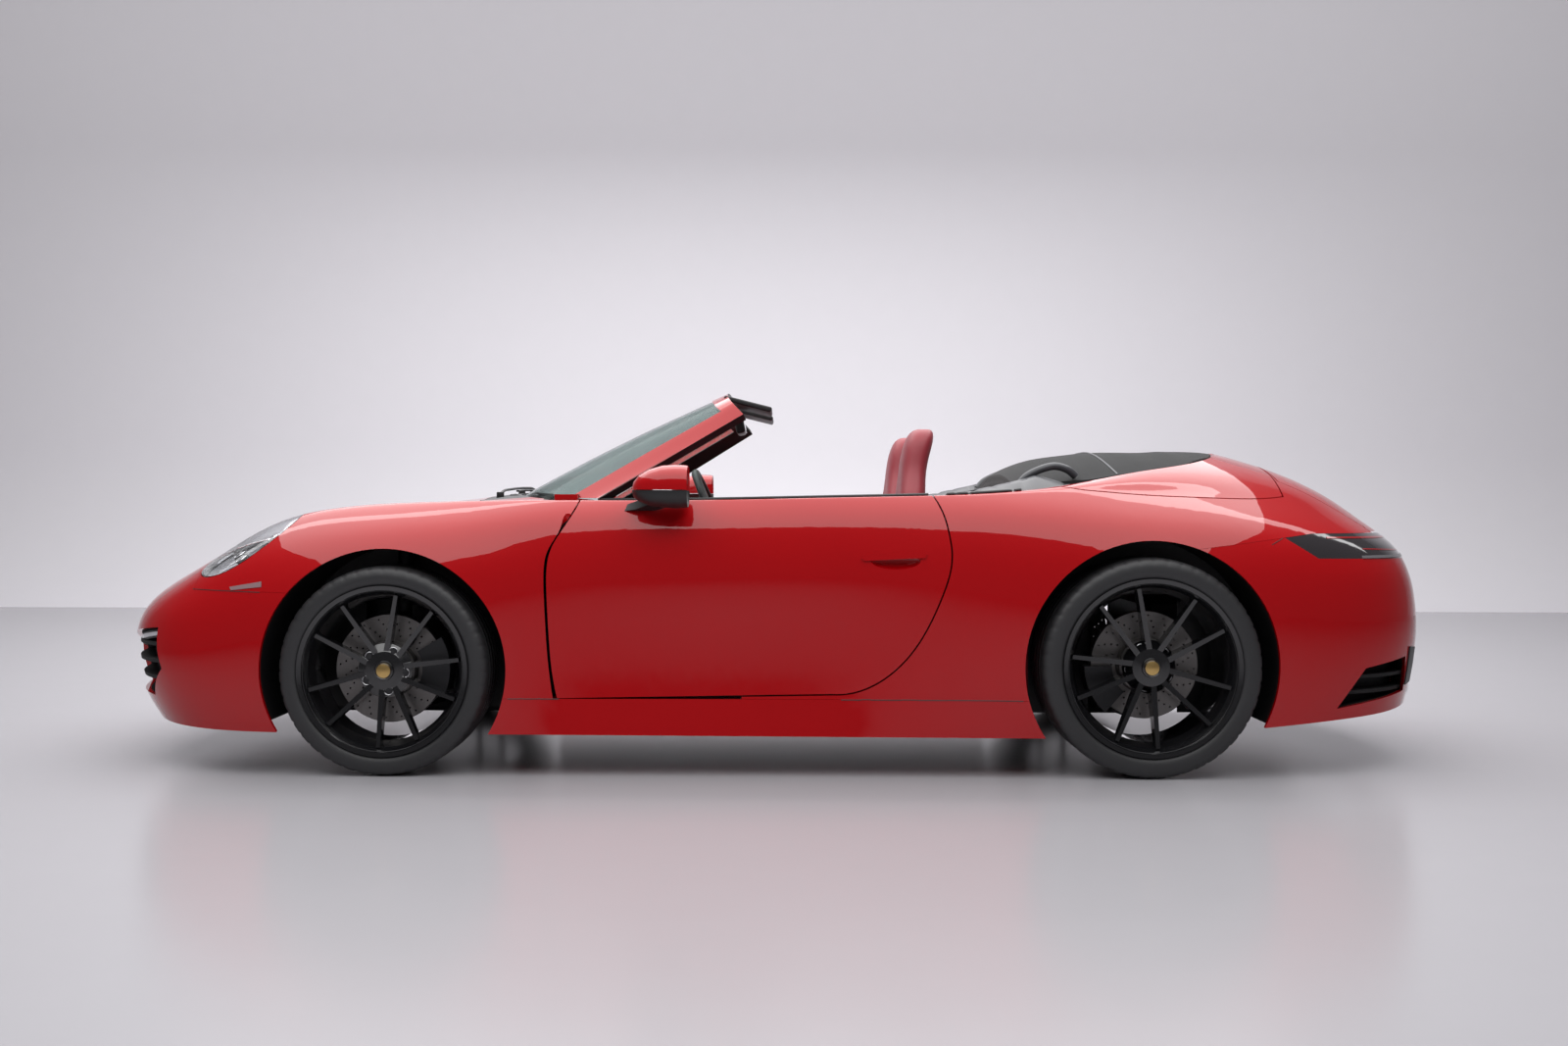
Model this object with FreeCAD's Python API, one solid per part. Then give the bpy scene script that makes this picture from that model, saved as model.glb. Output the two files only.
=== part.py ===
"""Two-plus-two convertible sports car, roof folded, built as separate panels and running gear.

Row frame in millimetres: +Z up, the nose points along -X, the car's left side is -Y.
The origin is on the ground under the middle of the car's bounding box.
"""
import FreeCAD, Part
import math
import os
from FreeCAD import Vector as V

# Driving dimensions
WHEELBASE = 2450.0
FRONT_AXLE_X = -1259.5
REAR_AXLE_X = FRONT_AXLE_X + WHEELBASE
HALF_WIDTH = 926.0
SKIN = 16.0
SEAM = 0.7
SHUT_GAP = 5.0
FIT_GAP = 0.3
PIN_GAP = 0.08

FRONT_WHEEL_R = 334.0
REAR_WHEEL_R = 352.0
FRONT_TYRE_W = 245.0
REAR_TYRE_W = 300.0
FRONT_HALF_TRACK = 785.0
REAR_HALF_TRACK = 768.0
FRONT_RIM_R = 272.0
REAR_RIM_R = 285.0
FRONT_ARCH_R = 390.0
REAR_ARCH_R = 406.0
KINGPIN_INSET = 50.0


def front(dx):
    """A place along the car, counted from the front axle."""
    return FRONT_AXLE_X + dx


def rear(dx):
    """A place along the car, counted from the rear axle."""
    return REAR_AXLE_X + dx


def mid(share):
    """A place between the axles, as a share of the wheelbase."""
    return FRONT_AXLE_X + share * WHEELBASE


def wide(y):
    """A distance from the centre plane that grows with the car's width."""
    return y * HALF_WIDTH / 926.0


# Body lines. Each station is a cut through one side of the body, from the edge of the open
# cabin (cowl, door top, roof well) out and down to the bottom edge. Stations run from the nose
# centre along the side to the tail centre. The two last numbers are how far the panel crowns.
STATIONS = [
    # inner edge, crest, shoulder, waist, lower, bottom, crown
    ((front(330), 0, 908), (front(-780), 0, 670), (front(-940), 0, 575), (front(-1005), 0, 430),
     (front(-999), 0, 270), (front(-920), 0, 160), (50, 38)),
    ((front(335), 180, 906), (front(-736), 270, 674), (front(-896), 320, 575), (front(-981), 350, 432),
     (front(-973), 350, 270), (front(-890), 330, 158), (44, 34)),
    ((front(350), 330, 903), (front(-640), 490, 700), (front(-800), 570, 588), (front(-896), 620, 440),
     (front(-890), 620, 275), (front(-815), 590, 152), (25, 12)),
    ((front(368), 450, 900), (front(-530), 610, 760), (front(-675), 710, 625), (front(-745), 795, 450),
     (front(-742), 800, 285), (front(-685), 770, 146), (0, -15)),
    ((front(390), 545, 897), (front(-400), 662, 832), (front(-485), 795, 705), (front(-530), 880, 480),
     (front(-530), 880, 290), (front(-510), 858, 140), (-12, -28)),
    ((front(418), 615, 893), (front(-210), 685, 868), (front(-265), 838, 760), (front(-290), 930, 530),
     (front(-290), 929, 300), (front(-290), 895, 138), (-15, -22)),
    ((front(450), 665, 889), (front(10), 698, 878), (front(0), 855, 792), (front(0), 944, 590),
     (front(0), 942, 330), (front(0), 900, 136), (-10, -12)),
    ((front(485), 705, 885), (front(250), 718, 880), (front(260), 842, 808), (front(260), 917, 605),
     (front(260), 904, 330), (front(260), 890, 134), (-4, -4)),
    ((front(530), 742, 881), (front(520), 770, 880), (front(520), 842, 826), (front(520), 884, 620),
     (front(520), 868, 340), (front(520), 882, 132), (0, 0)),
    ((mid(0.392), 775, 882), (mid(0.392), 799, 882), (mid(0.392), 850, 826), (mid(0.392), 880, 622),
     (mid(0.392), 858, 340), (mid(0.392), 880, 130), (0, 0)),
    ((mid(0.575), 778, 892), (mid(0.575), 802, 891), (mid(0.575), 853, 832), (mid(0.575), 882, 628),
     (mid(0.575), 860, 340), (mid(0.575), 880, 128), (0, 0)),
    ((mid(0.739), 770, 902), (mid(0.739), 797, 901), (mid(0.739), 860, 844), (mid(0.739), 900, 640),
     (mid(0.739), 888, 345), (mid(0.739), 885, 127), (0, 0)),
    ((rear(-390), 735, 918), (rear(-390), 778, 912), (rear(-390), 868, 846), (rear(-390), 918, 642),
     (rear(-390), 912, 350), (rear(-390), 892, 127), (2, 2)),
    ((rear(-190), 680, 945), (rear(-190), 742, 922), (rear(-190), 870, 838), (rear(-190), 933, 640),
     (rear(-190), 931, 360), (rear(-190), 902, 130), (6, 4)),
    ((rear(0), 600, 980), (rear(0), 715, 918), (rear(0), 868, 826), (rear(0), 943, 625),
     (rear(0), 942, 370), (rear(0), 908, 140), (10, 8)),
    ((rear(210), 480, 1012), (rear(250), 690, 905), (rear(260), 856, 808), (rear(265), 930, 605),
     (rear(265), 928, 375), (rear(260), 900, 155), (15, 12)),
    ((rear(330), 330, 1040), (rear(500), 650, 872), (rear(525), 806, 775), (rear(535), 876, 592),
     (rear(535), 876, 385), (rear(515), 864, 175), (25, 18)),
    ((rear(370), 220, 1052), (rear(690), 560, 848), (rear(760), 700, 752), (rear(802), 762, 575),
     (rear(802), 764, 385), (rear(772), 744, 192), (32, 26)),
    ((rear(385), 150, 1058), (rear(800), 430, 832), (rear(895), 545, 745), (rear(952), 590, 560),
     (rear(956), 590, 385), (rear(916), 574, 205), (38, 32)),
    ((rear(390), 75, 1061), (rear(870), 245, 822), (rear(970), 305, 740), (rear(1036), 320, 552),
     (rear(1046), 322, 385), (rear(1002), 312, 215), (42, 36)),
    ((rear(393), 0, 1062), (rear(890), 0, 818), (rear(995), 0, 738), (rear(1060), 0, 548),
     (rear(1078), 0, 385), (rear(1027), 0, 220), (44, 38)),
]
NOSE, DOOR_FRONT, DOOR_MID, TAIL = 0, 8, 10, 20
ROWS = 10
ROW_SPANS = ROWS - 3
# Where each named line of the body lies across the section, from 0 at the cabin edge
AT_SHOULDER, AT_WAIST, AT_BOTTOM = 4.0, 6.0, float(ROW_SPANS)


def along(a, b, share, rise=0.0):
    return (a[0] + (b[0] - a[0]) * share, a[1] + (b[1] - a[1]) * share,
            a[2] + (b[2] - a[2]) * share + rise)


def section_rows(station):
    """The control points of one half section, on the left side."""
    inner, crest, shoulder, waist, lower, bottom, (crown_mid, crown_edge) = station
    upper = (shoulder[0] + (waist[0] - shoulder[0]) * 0.62,
             shoulder[1] + (waist[1] - shoulder[1]) * 0.62,
             shoulder[2] + (waist[2] - shoulder[2]) * 0.45)
    rows = [inner, along(inner, crest, 0.12, crown_mid * 0.3), along(inner, crest, 0.45, crown_mid),
            along(inner, crest, 0.8, crown_edge), crest, shoulder, upper, waist, lower, bottom]
    return [V(x, -wide(y), z) for x, y, z in rows]


def mirrored_points(points):
    return [V(p.x, -p.y, p.z) for p in points]


# The loop round the car starts in the middle of the right door, so no centre panel crosses its seam
LEFT = [section_rows(s) for s in STATIONS]
RIGHT = [mirrored_points(rows) for rows in LEFT]
LOOP = RIGHT[DOOR_MID:0:-1] + LEFT + RIGHT[TAIL - 1:DOOR_MID:-1]


def loop_parameters():
    """One parameter for each station, spaced by the root of the chord along the waist."""
    found = [0.0]
    for i in range(len(LOOP)):
        a, b = LOOP[i][7], LOOP[(i + 1) % len(LOOP)][7]
        found.append(found[-1] + math.sqrt((b - a).Length / 400.0))
    return found


LOOP_AT = loop_parameters()


def at_left(k):
    """The surface parameter of left station k, which may lie between two stations."""
    i = DOOR_MID + k
    low = int(math.floor(i))
    return LOOP_AT[low] + (LOOP_AT[low + 1] - LOOP_AT[low]) * (i - low)


def at_right(k):
    """The surface parameter of right station k on the front half or, past the tail, the rear half."""
    i = DOOR_MID - k if k <= DOOR_MID else DOOR_MID + 2 * TAIL - k
    low = int(math.floor(i))
    return LOOP_AT[low] + (LOOP_AT[low + 1] - LOOP_AT[low]) * (i - low)


def ring_surface(loop):
    """A smooth surface round the whole car: it passes through the loop's control lines."""
    lines = []
    for j in range(ROWS):
        line = Part.BSplineCurve()
        line.interpolate(Points=[rows[j] for rows in loop], PeriodicFlag=True, Parameters=LOOP_AT)
        lines.append(line)
    poles = [[line.getPoles()[i] for line in lines] for i in range(lines[0].NbPoles)]
    surface = Part.BSplineSurface()
    surface.buildFromPolesMultsKnots(
        poles, lines[0].getMultiplicities(), [4] + [1] * (ROW_SPANS - 1) + [4],
        lines[0].getKnots(), [float(i) for i in range(ROW_SPANS + 1)], True, False, 3, 3)
    return surface


OUTER = ring_surface(LOOP)
ROW_AT = [0.0, 1 / 3.0] + [float(i) for i in range(1, ROW_SPANS)] + [ROW_SPANS - 1 / 3.0, float(ROW_SPANS)]


def inward(depth):
    """The ring surface moved into the body by a depth."""
    probe = OUTER.normal(at_left(DOOR_MID), AT_WAIST)
    sign = 1.0 if probe.y < 0 else -1.0
    loop = []
    for i, rows in enumerate(LOOP):
        loop.append([p - OUTER.normal(LOOP_AT[i], v) * (sign * depth) for p, v in zip(rows, ROW_AT)])
    return ring_surface(loop)


INNER = inward(SKIN)
MIDDLE = inward(SKIN / 2)
BEHIND = inward(SKIN + FIT_GAP)


def closed_solid(faces):
    shell = Part.makeShell(faces)
    shell.sewShape()
    solid = Part.Solid(shell)
    if solid.Volume < 0:
        solid.reverse()
    return solid


def patch(surface, u0, u1, v0, v1):
    """One range of a surface, as a surface that ends there."""
    piece = surface.copy()
    piece.segment(u0, u1, v0, v1)
    return piece


def slab(outer, inner, u0, u1, v0, v1):
    """The solid between two surfaces over one range of their parameters."""
    outer, inner = patch(outer, u0, u1, v0, v1), patch(inner, u0, u1, v0, v1)
    faces = [outer.toShape(), inner.toShape()]
    for u in (u0, u1):
        faces.append(Part.makeRuledSurface(outer.uIso(u).toShape(), inner.uIso(u).toShape()))
    for v in (v0, v1):
        faces.append(Part.makeRuledSurface(outer.vIso(v).toShape(), inner.vIso(v).toShape()))
    return closed_solid(faces)


def side_block(surface, half_width, k0, k1, v0=0.0, v1=AT_BOTTOM):
    """The solid on the left side from a body surface in to the plane at half_width."""
    block = patch(surface, at_left(k0), at_left(k1), v0, v1).toShape().extrude(V(0, HALF_WIDTH, 0))
    if block.Volume < 0:
        block.reverse()
    return block.common(box(-3000, 3000, -1200, -half_width, -100, 1500))


def mirrored(shape):
    """The same shape on the car's other side."""
    return shape.mirror(V(0, 0, 0), V(0, 1, 0))


def both_sides(shape):
    return Part.makeCompound(solids_of(shape) + solids_of(mirrored(shape)))


def solids_of(shape):
    return shape.Solids if shape.Solids else [shape]


def spline(points):
    curve = Part.BSplineCurve()
    curve.interpolate(points)
    return curve.toShape()


def closed_face(points):
    return Part.Face(Part.makePolygon(points + [points[0]]))


def side_prism(points, y0, y1):
    """A block whose outline is drawn in the side view."""
    return closed_face([V(x, y0, z) for x, z in points]).extrude(V(0, y1 - y0, 0))


def plan_prism(points, z0, z1):
    """A block whose outline is drawn in the view from above."""
    return closed_face([V(x, y, z0) for x, y in points]).extrude(V(0, 0, z1 - z0))


def front_prism(points, x0, x1):
    """A block whose outline is drawn in the view from the front."""
    return closed_face([V(x0, y, z) for y, z in points]).extrude(V(x1 - x0, 0, 0))


def box(x0, x1, y0, y1, z0, z1):
    return Part.makeBox(x1 - x0, y1 - y0, z1 - z0, V(x0, y0, z0))


def rod(a, b, radius):
    a, b = V(*a), V(*b)
    return Part.makeCylinder(radius, (b - a).Length, a, b - a)


def fused(first, *others):
    return first.fuse(list(others)).removeSplitter() if others else first


def largest(shape):
    """The biggest solid of a cut, without its offcuts."""
    return max(shape.Solids, key=lambda s: s.Volume)


NODES = {}


def node(name, shape):
    NODES[name] = shape


def pair(name, shape):
    """A node on each side: the left one as made, the right one mirrored."""
    node(name + "_left", shape)
    node(name + "_right", mirrored(shape))


# Body panels
DOOR_DEPTH_PLANE = 712.0
DOOR_FRONT_EDGE = [(front(615), 880), (front(568), 790), (front(532), 727), (front(518), 602),
                   (front(524), 477), (front(534), 351), (front(553), 248)]
DOOR_REAR_EDGE = [(rear(-1017), 264), (rear(-905), 285), (rear(-782), 378), (rear(-673), 572),
                  (rear(-640), 700), (rear(-648), 776), (rear(-664), 838), (rear(-695), 900)]
DOOR_TOP = 960.0


def door_outline(grow):
    """The door's side-view outline as a face, drawn outside or inside its nominal line."""
    front_edge = spline([V(x, 0, z) for x, z in DOOR_FRONT_EDGE])
    rear_edge = spline([V(x, 0, z) for x, z in DOOR_REAR_EDGE])
    first, last = DOOR_FRONT_EDGE[0], DOOR_REAR_EDGE[-1]
    low_front, low_rear = DOOR_FRONT_EDGE[-1], DOOR_REAR_EDGE[0]
    over_front, over_rear = V(first[0], 0, DOOR_TOP), V(last[0], 0, DOOR_TOP)
    wire = Part.Wire([front_edge, Part.makeLine(V(low_front[0], 0, low_front[1]), V(low_rear[0], 0, low_rear[1])),
                      rear_edge, Part.makeLine(V(last[0], 0, last[1]), over_rear),
                      Part.makeLine(over_rear, over_front),
                      Part.makeLine(over_front, V(first[0], 0, first[1]))])
    face = Part.Face(wire)
    return grown_outline(face, grow)


def grown_outline(face, grow):
    """A flat face with its outline moved out by a distance, on plain curves."""
    return Part.Face(face.makeOffset2D(grow).OuterWire.toNurbs().Wires[0]) if grow else face


def side_cutter(face, reach=1200.0):
    """A side-view face made into a block through the left side."""
    moved = face.translated(V(0, -reach, 0))
    return moved.extrude(V(0, reach, 0))


def arch_cutter(axle_x, axle_z, radius):
    """A round wheel opening through the left side."""
    return rod((axle_x, -1200, axle_z), (axle_x, -300, axle_z), radius)


FRONT_ARCH = arch_cutter(FRONT_AXLE_X, FRONT_WHEEL_R, FRONT_ARCH_R)
REAR_ARCH = arch_cutter(REAR_AXLE_X, REAR_WHEEL_R, REAR_ARCH_R)
BOTH_ARCHES = [FRONT_ARCH, REAR_ARCH, mirrored(FRONT_ARCH), mirrored(REAR_ARCH)]

# Seams drawn in the side view, front and rear bumper and sill
SILL_SEAM_Z = 246.0
FRONT_BUMPER_SEAM = [(front(-200), 581), (front(-640), 588), (front(-640), 950), (front(-1200), 950),
                     (front(-1200), 0), (front(-200), 0)]
TAIL_SEAM_Z = 780.0
LAMP_TIP = (rear(440), 767)
LAMP_LOWER = [(rear(547), 701), (rear(1300), 691)]
LAMP_UPPER = [(rear(1300), TAIL_SEAM_Z), (rear(547), TAIL_SEAM_Z)]
BUMPER_START = (rear(120), 728)
ABOVE_BUMPER = [LAMP_TIP] + LAMP_LOWER + [(rear(1300), 1500), (rear(120), 1500), BUMPER_START]
BELOW_QUARTER = [LAMP_TIP] + LAMP_UPPER[::-1] + [(rear(1300), 0), (rear(120), 0), BUMPER_START]
LAMP_STRIP = [LAMP_TIP] + LAMP_LOWER + LAMP_UPPER
LAMP_INNER_Y = 300.0

# Seams drawn in the view from above
COWL_HALF_WIDTH = 645.0
HOOD_HALF = COWL_HALF_WIDTH + SHUT_GAP
HOOD_EDGE = [(front(-782), 0), (front(-760), 200), (front(-700), 385), (front(-610), 490), (front(-480), 552),
             (front(-300), HOOD_HALF - 54), (front(-50), HOOD_HALF - 18), (front(160), HOOD_HALF - 2),
             (front(262), HOOD_HALF)]
HOOD_REAR = [(front(262), HOOD_HALF), (front(235), 400), (front(222), 200), (front(218), 0)]
TOP_LID_SIDE = [(rear(-300), 700), (rear(-262), 728), (rear(-140), 742), (rear(120), 727), (rear(380), 668),
                (rear(500), 600)]
TOP_LID_REAR = [(rear(500), 600), (rear(512), 400), (rear(518), 200), (rear(520), 0)]
ENGINE_LID_SIDE = [(rear(525), 470), (rear(620), 500), (rear(795), 545)]
SPOILER_SIDE = [(rear(795.7), 560), (rear(900), 530), (rear(990), 470)]


def plan_face(*curves):
    """A face bounded by curves on the left and their mirror images on the right."""
    edges = []
    for points in curves:
        line = [V(x, -y, 0) for x, y in points]
        edges.append(spline(line) if len(line) > 2 else Part.makeLine(*line))
    other = [e.mirror(V(0, 0, 0), V(0, 1, 0)) for e in edges]
    ends = [curves[0][0], curves[-1][-1]]
    for x, y in ends:
        if y > 0:
            edges.append(Part.makeLine(V(x, -y, 0), V(x, y, 0)))
    return Part.Face(Part.Wire(Part.__sortEdges__(edges + other)))


def plan_cutter(face, grow=0.0):
    """A view-from-above face made into a block through the upper body."""
    outline = grown_outline(face, grow)
    return outline.translated(V(0, 0, 500)).extrude(V(0, 0, 800))


HOOD_FACE = plan_face(HOOD_EDGE, HOOD_REAR)
TOP_LID_FACE = plan_face(TOP_LID_SIDE, TOP_LID_REAR)
ENGINE_LID_FACE = plan_face(ENGINE_LID_SIDE)
SPOILER_FACE = plan_face(SPOILER_SIDE)
DOOR_HOLE = side_cutter(door_outline(SHUT_GAP))

# Headlamps: an upright oval laid on the corner of the fender
LAMP_CENTRE = V(front(-470), -690, 730)
LAMP_LONG = 196.0
LAMP_SHORT = 128.0


def headlamp_cutter(grow):
    """An oval block through the fender corner, square to the skin at the lamp's middle."""
    u, v = OUTER.parameter(LAMP_CENTRE)
    out = OUTER.normal(u, v)
    if out.y > 0:
        out = -out
    up = V(front(-300), -640, 850) - V(front(-640), -740, 600)
    up = (up - out * up.dot(out)).normalize()
    centre = OUTER.value(u, v)
    oval = Part.Ellipse(V(0, 0, 0), LAMP_LONG + grow, LAMP_SHORT + grow)
    face = Part.Face(Part.Wire(oval.toShape()))
    across = out.cross(up)
    face = face.transformGeometry(FreeCAD.Matrix(
        up.x, across.x, out.x, centre.x - out.x * 90, up.y, across.y, out.y, centre.y - out.y * 90,
        up.z, across.z, out.z, centre.z - out.z * 90, 0, 0, 0, 1))
    return face.extrude(out * 200)


COWL_ZONE = box(front(100), front(600), -COWL_HALF_WIDTH, COWL_HALF_WIDTH, 500, 1200)
COWL_HOLE = box(front(100), front(600), -COWL_HALF_WIDTH - SEAM, COWL_HALF_WIDTH + SEAM, 500, 1200)
LEFT_SIDE = box(-3000, 3000, -1200, 0, -100, 1500)
SILL_ZONE = side_prism([(front(200), 0), (front(200), SILL_SEAM_Z), (rear(-200), SILL_SEAM_Z), (rear(-200), 0)],
                       -1200, -DOOR_DEPTH_PLANE)
ABOVE_LAMPS = box(-3000, 3000, -1200, 1200, TAIL_SEAM_Z + SHUT_GAP, 1500)


def front_panels():
    """Hood, cowl, fenders, front bumper cover and headlamps."""
    skin = slab(OUTER, INNER, at_right(9.4), at_left(9.4), 0, AT_BOTTOM)
    bumper_block = side_prism(FRONT_BUMPER_SEAM, -1200, 1200)
    lamp_holes = [headlamp_cutter(FIT_GAP), mirrored(headlamp_cutter(FIT_GAP))]
    lamp_room = headlamp_cutter(SHUT_GAP)
    node("hood", largest(skin.common(plan_cutter(HOOD_FACE)).cut([lamp_room, mirrored(lamp_room)])))
    around_hood = skin.cut([plan_cutter(HOOD_FACE, SHUT_GAP)] + BOTH_ARCHES + lamp_holes)
    node("front_bumper", largest(around_hood.common(bumper_block)))
    node("cowl", largest(around_hood.common(COWL_ZONE)))
    left = around_hood.common(LEFT_SIDE)
    pair("front_fender", largest(left.cut([bumper_block.translated(V(SEAM, 0, SEAM)), DOOR_HOLE, COWL_HOLE,
                                           SILL_ZONE.translated(V(0, 0, SEAM))])))
    node("headlamps", both_sides(skin.common(headlamp_cutter(0))))


def rear_panels():
    """Rear quarters, rear bumper cover, lids, spoiler and tail lamps."""
    half = slab(OUTER, INNER, at_left(9.4), at_left(TAIL), 0, AT_BOTTOM)
    across = slab(OUTER, INNER, at_left(12), at_right(12), 0, AT_BOTTOM)
    above = side_prism(ABOVE_BUMPER, -1200, -LAMP_INNER_Y)
    not_bumper = [above, mirrored(above), box(-3000, rear(120), -1300, 1300, -50, 1500),
                  box(rear(119), rear(1400), -1300, 1300, TAIL_SEAM_Z, 1500)] + BOTH_ARCHES
    below_quarter = side_prism(BELOW_QUARTER, -1200, 0)
    lamp_block = side_prism(LAMP_STRIP, -1200, -LAMP_INNER_Y)
    lids = [plan_cutter(face, SHUT_GAP) for face in (TOP_LID_FACE, ENGINE_LID_FACE, SPOILER_FACE)]
    pair("rear_quarter", largest(half.cut([DOOR_HOLE, SILL_ZONE.translated(V(0, 0, SEAM)), REAR_ARCH,
                                           below_quarter.translated(V(0, 0, SEAM))] + lids)))
    node("rear_bumper", largest(across.cut(not_bumper)))
    node("tail_lamps", both_sides(half.common(lamp_block)))
    node("top_lid", largest(across.common(plan_cutter(TOP_LID_FACE))))
    node("engine_lid", largest(across.common(plan_cutter(ENGINE_LID_FACE)).common(ABOVE_LAMPS)))
    node("rear_spoiler", largest(across.common(plan_cutter(SPOILER_FACE)).common(ABOVE_LAMPS)))


# Mouths in the bumpers, each with a frame, slats and a back plate behind it
MOUTH_DEPTH = 50.0
MOUTH_LIP = 9.0
SLAT = 11.0
CORNER_INTAKE = [(-335, 246), (-345, 392), (-560, 436), (-765, 462), (-792, 330), (-716, 236)]
CHIN_INTAKE = [(-300, 178), (-262, 232), (262, 232), (300, 178)]
SIDE_OUTLET = [(rear(606), 218), (rear(712), 346), (rear(890), 374), (rear(896), 256)]


def mouth(face, into, zone, frame_zone, slat_heights):
    """A hooded opening through the bumper's skin: one solid carries its rim, slats and back."""
    deep = solid_extrude(face, into * (MOUTH_DEPTH + MOUTH_LIP)).common(frame_zone)
    hollow = solid_extrude(face.translated(into * -30), into * (MOUTH_DEPTH + 30)).common(zone)
    slats = [box(-3000, 3000, -1200, 1200, z, z + SLAT) for z in slat_heights]
    return largest(deep.cut(hollow.cut(slats) if slats else hollow))


def solid_extrude(face, way):
    block = face.extrude(way)
    if block.Volume < 0:
        block.reverse()
    return block


def mouths():
    """Corner intakes and the chin intake in the nose, side outlets in the tail."""
    corner_face = patch(BEHIND, at_left(0.6), at_left(4.6), 3.5, AT_BOTTOM - 0.02).toShape()
    corner = front_prism(CORNER_INTAKE, -2400, -1900)
    corner_frame = front_prism(grown_points(CORNER_INTAKE, MOUTH_LIP), -2400, -1900)
    intake = mouth(corner_face, V(0.8, 0.6, 0), corner, corner_frame, (290, 345, 400))
    chin_face = patch(BEHIND, at_right(2.2), at_left(2.2), 5.0, AT_BOTTOM - 0.02).toShape()
    chin = front_prism(CHIN_INTAKE, -2400, -1900)
    chin_frame = front_prism(grown_points(CHIN_INTAKE, MOUTH_LIP), -2400, -1900)
    low = mouth(chin_face, V(1, 0, 0), chin, chin_frame, (200,))
    node("front_bumper", largest(NODES["front_bumper"].cut([corner, mirrored(corner), chin])))
    node("front_grilles", Part.makeCompound([intake, mirrored(intake), low]))
    outlet_face = patch(BEHIND, at_left(16), at_left(18.2), 5.5, AT_BOTTOM - 0.02).toShape()
    outlet = side_prism(SIDE_OUTLET, -1200, -520)
    outlet_frame = side_prism(grown_points(SIDE_OUTLET, MOUTH_LIP), -1200, -520)
    vent = mouth(outlet_face, V(-0.6, 0.8, 0), outlet, outlet_frame, (262, 312))
    node("rear_bumper", largest(NODES["rear_bumper"].cut([outlet, mirrored(outlet)])))
    node("rear_outlets", both_sides(vent))


def grown_points(points, by):
    """An outline moved outwards from its middle by about a distance."""
    middle = [sum(p[i] for p in points) / len(points) for i in (0, 1)]
    grown = []
    for p in points:
        reach = math.hypot(p[0] - middle[0], p[1] - middle[1])
        grown.append(tuple(middle[i] + (p[i] - middle[i]) * (1 + by / reach * 1.3) for i in (0, 1)))
    return grown


# Door handle: a scooped pocket and a blade across its upper part
HANDLE_MIDDLE = (rear(-822), 702)
HANDLE_HALF_LONG = 104.0


def door_handle(door):
    x, z = HANDLE_MIDDLE
    y = -skin_half_width(x, z)
    scoop = Part.makeSphere(1).transformGeometry(FreeCAD.Matrix(80, 0, 0, x + 6, 0, 22, 0, y, 0, 0, 27, z - 12,
                                                                0, 0, 0, 1))
    skin = patch(OUTER, at_left(9), at_left(12.5), 1.0, AT_BOTTOM).toShape().translated(V(0, -5, 0))
    bar = solid_extrude(skin, V(0, 13, 0)).common(side_prism(
        [(x - HANDLE_HALF_LONG, z - 4), (x - HANDLE_HALF_LONG + 10, z + 12), (x + HANDLE_HALF_LONG - 12, z + 20),
         (x + HANDLE_HALF_LONG, z + 10), (x + HANDLE_HALF_LONG - 6, z - 2), (x - HANDLE_HALF_LONG + 10, z - 12)],
        -1200, -DOOR_DEPTH_PLANE))
    return door.cut(scoop).fuse(largest(bar)).removeSplitter()


# Air grille in the engine lid
AIR_GRILLE = [(rear(650), 330), (rear(782), 345)]
GRILLE_SLOTS = 11


def engine_grille():
    """A slotted plate let into the engine lid from below."""
    (x0, half0), (x1, half1) = AIR_GRILLE
    window = plan_prism([(x0, -half0), (x1, -half1), (x1, half1), (x0, half0)], 600, 1300)
    plate_zone = plan_prism([(x0 - 9, -half0 - 9), (x1 + 6, -half1 - 9), (x1 + 6, half1 + 9), (x0 - 9, half0 + 9)],
                            600, 1300)
    plate = slab(INNER, inward(SKIN + 10), at_left(14), at_right(14), 0, AT_SHOULDER).common(plate_zone)
    slots = []
    pitch = (half0 - 14.0) / GRILLE_SLOTS
    for k in range(GRILLE_SLOTS):
        y = 14 + k * pitch
        slots.append(box(x0 + 4, x1 - 4, y, y + pitch * 0.6, 600, 1300))
    node("engine_lid", largest(NODES["engine_lid"].cut(window)))
    node("engine_grille", largest(plate.cut(slots + [mirrored(s) for s in slots])))


HINGE_X = front(580)
HINGE_Y = -838.0
HINGE_PIN_R = 6.0
HINGE_HEIGHTS = (400.0, 620.0)
BARREL_R = 13.0
BARREL_HALF = 20.0
LEAF_THICK = 8.0
POCKET_R = 96.0
POST_TOP = 862.0
REAR_POST_TOP = 880.0


def swing_relief():
    """The space that the door's front edge sweeps, with the shut gap round it."""
    points = []
    for i in range(9):
        z = 238 + i * 79.0
        edge_x = door_front_x(z)
        depth = max(HINGE_Y + skin_half_width(edge_x, z), 0.0)
        ahead = max(HINGE_X - edge_x, 0.0)
        points.append(V(max(math.hypot(ahead, depth), 12.0) + SHUT_GAP + 3, 0, z))
    side = spline(points)
    low, high = points[0], points[-1]
    wire = Part.Wire([side, Part.makeLine(high, V(0, 0, high.z)), Part.makeLine(V(0, 0, high.z), V(0, 0, low.z)),
                      Part.makeLine(V(0, 0, low.z), low)])
    turned = Part.Face(wire).revolve(V(0, 0, 0), V(0, 0, 1), 360)
    return turned.translated(V(HINGE_X, HINGE_Y, 0))


def door_front_x(z):
    """Where the door's front edge is at a height."""
    edge = spline([V(x, 0, h) for x, h in DOOR_FRONT_EDGE])
    cut = edge.section(Part.makePlane(4000, 4000, V(-2000, -2000, z)))
    return cut.Vertexes[0].X if cut.Vertexes else DOOR_FRONT_EDGE[0 if z > 500 else -1][0]


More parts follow.
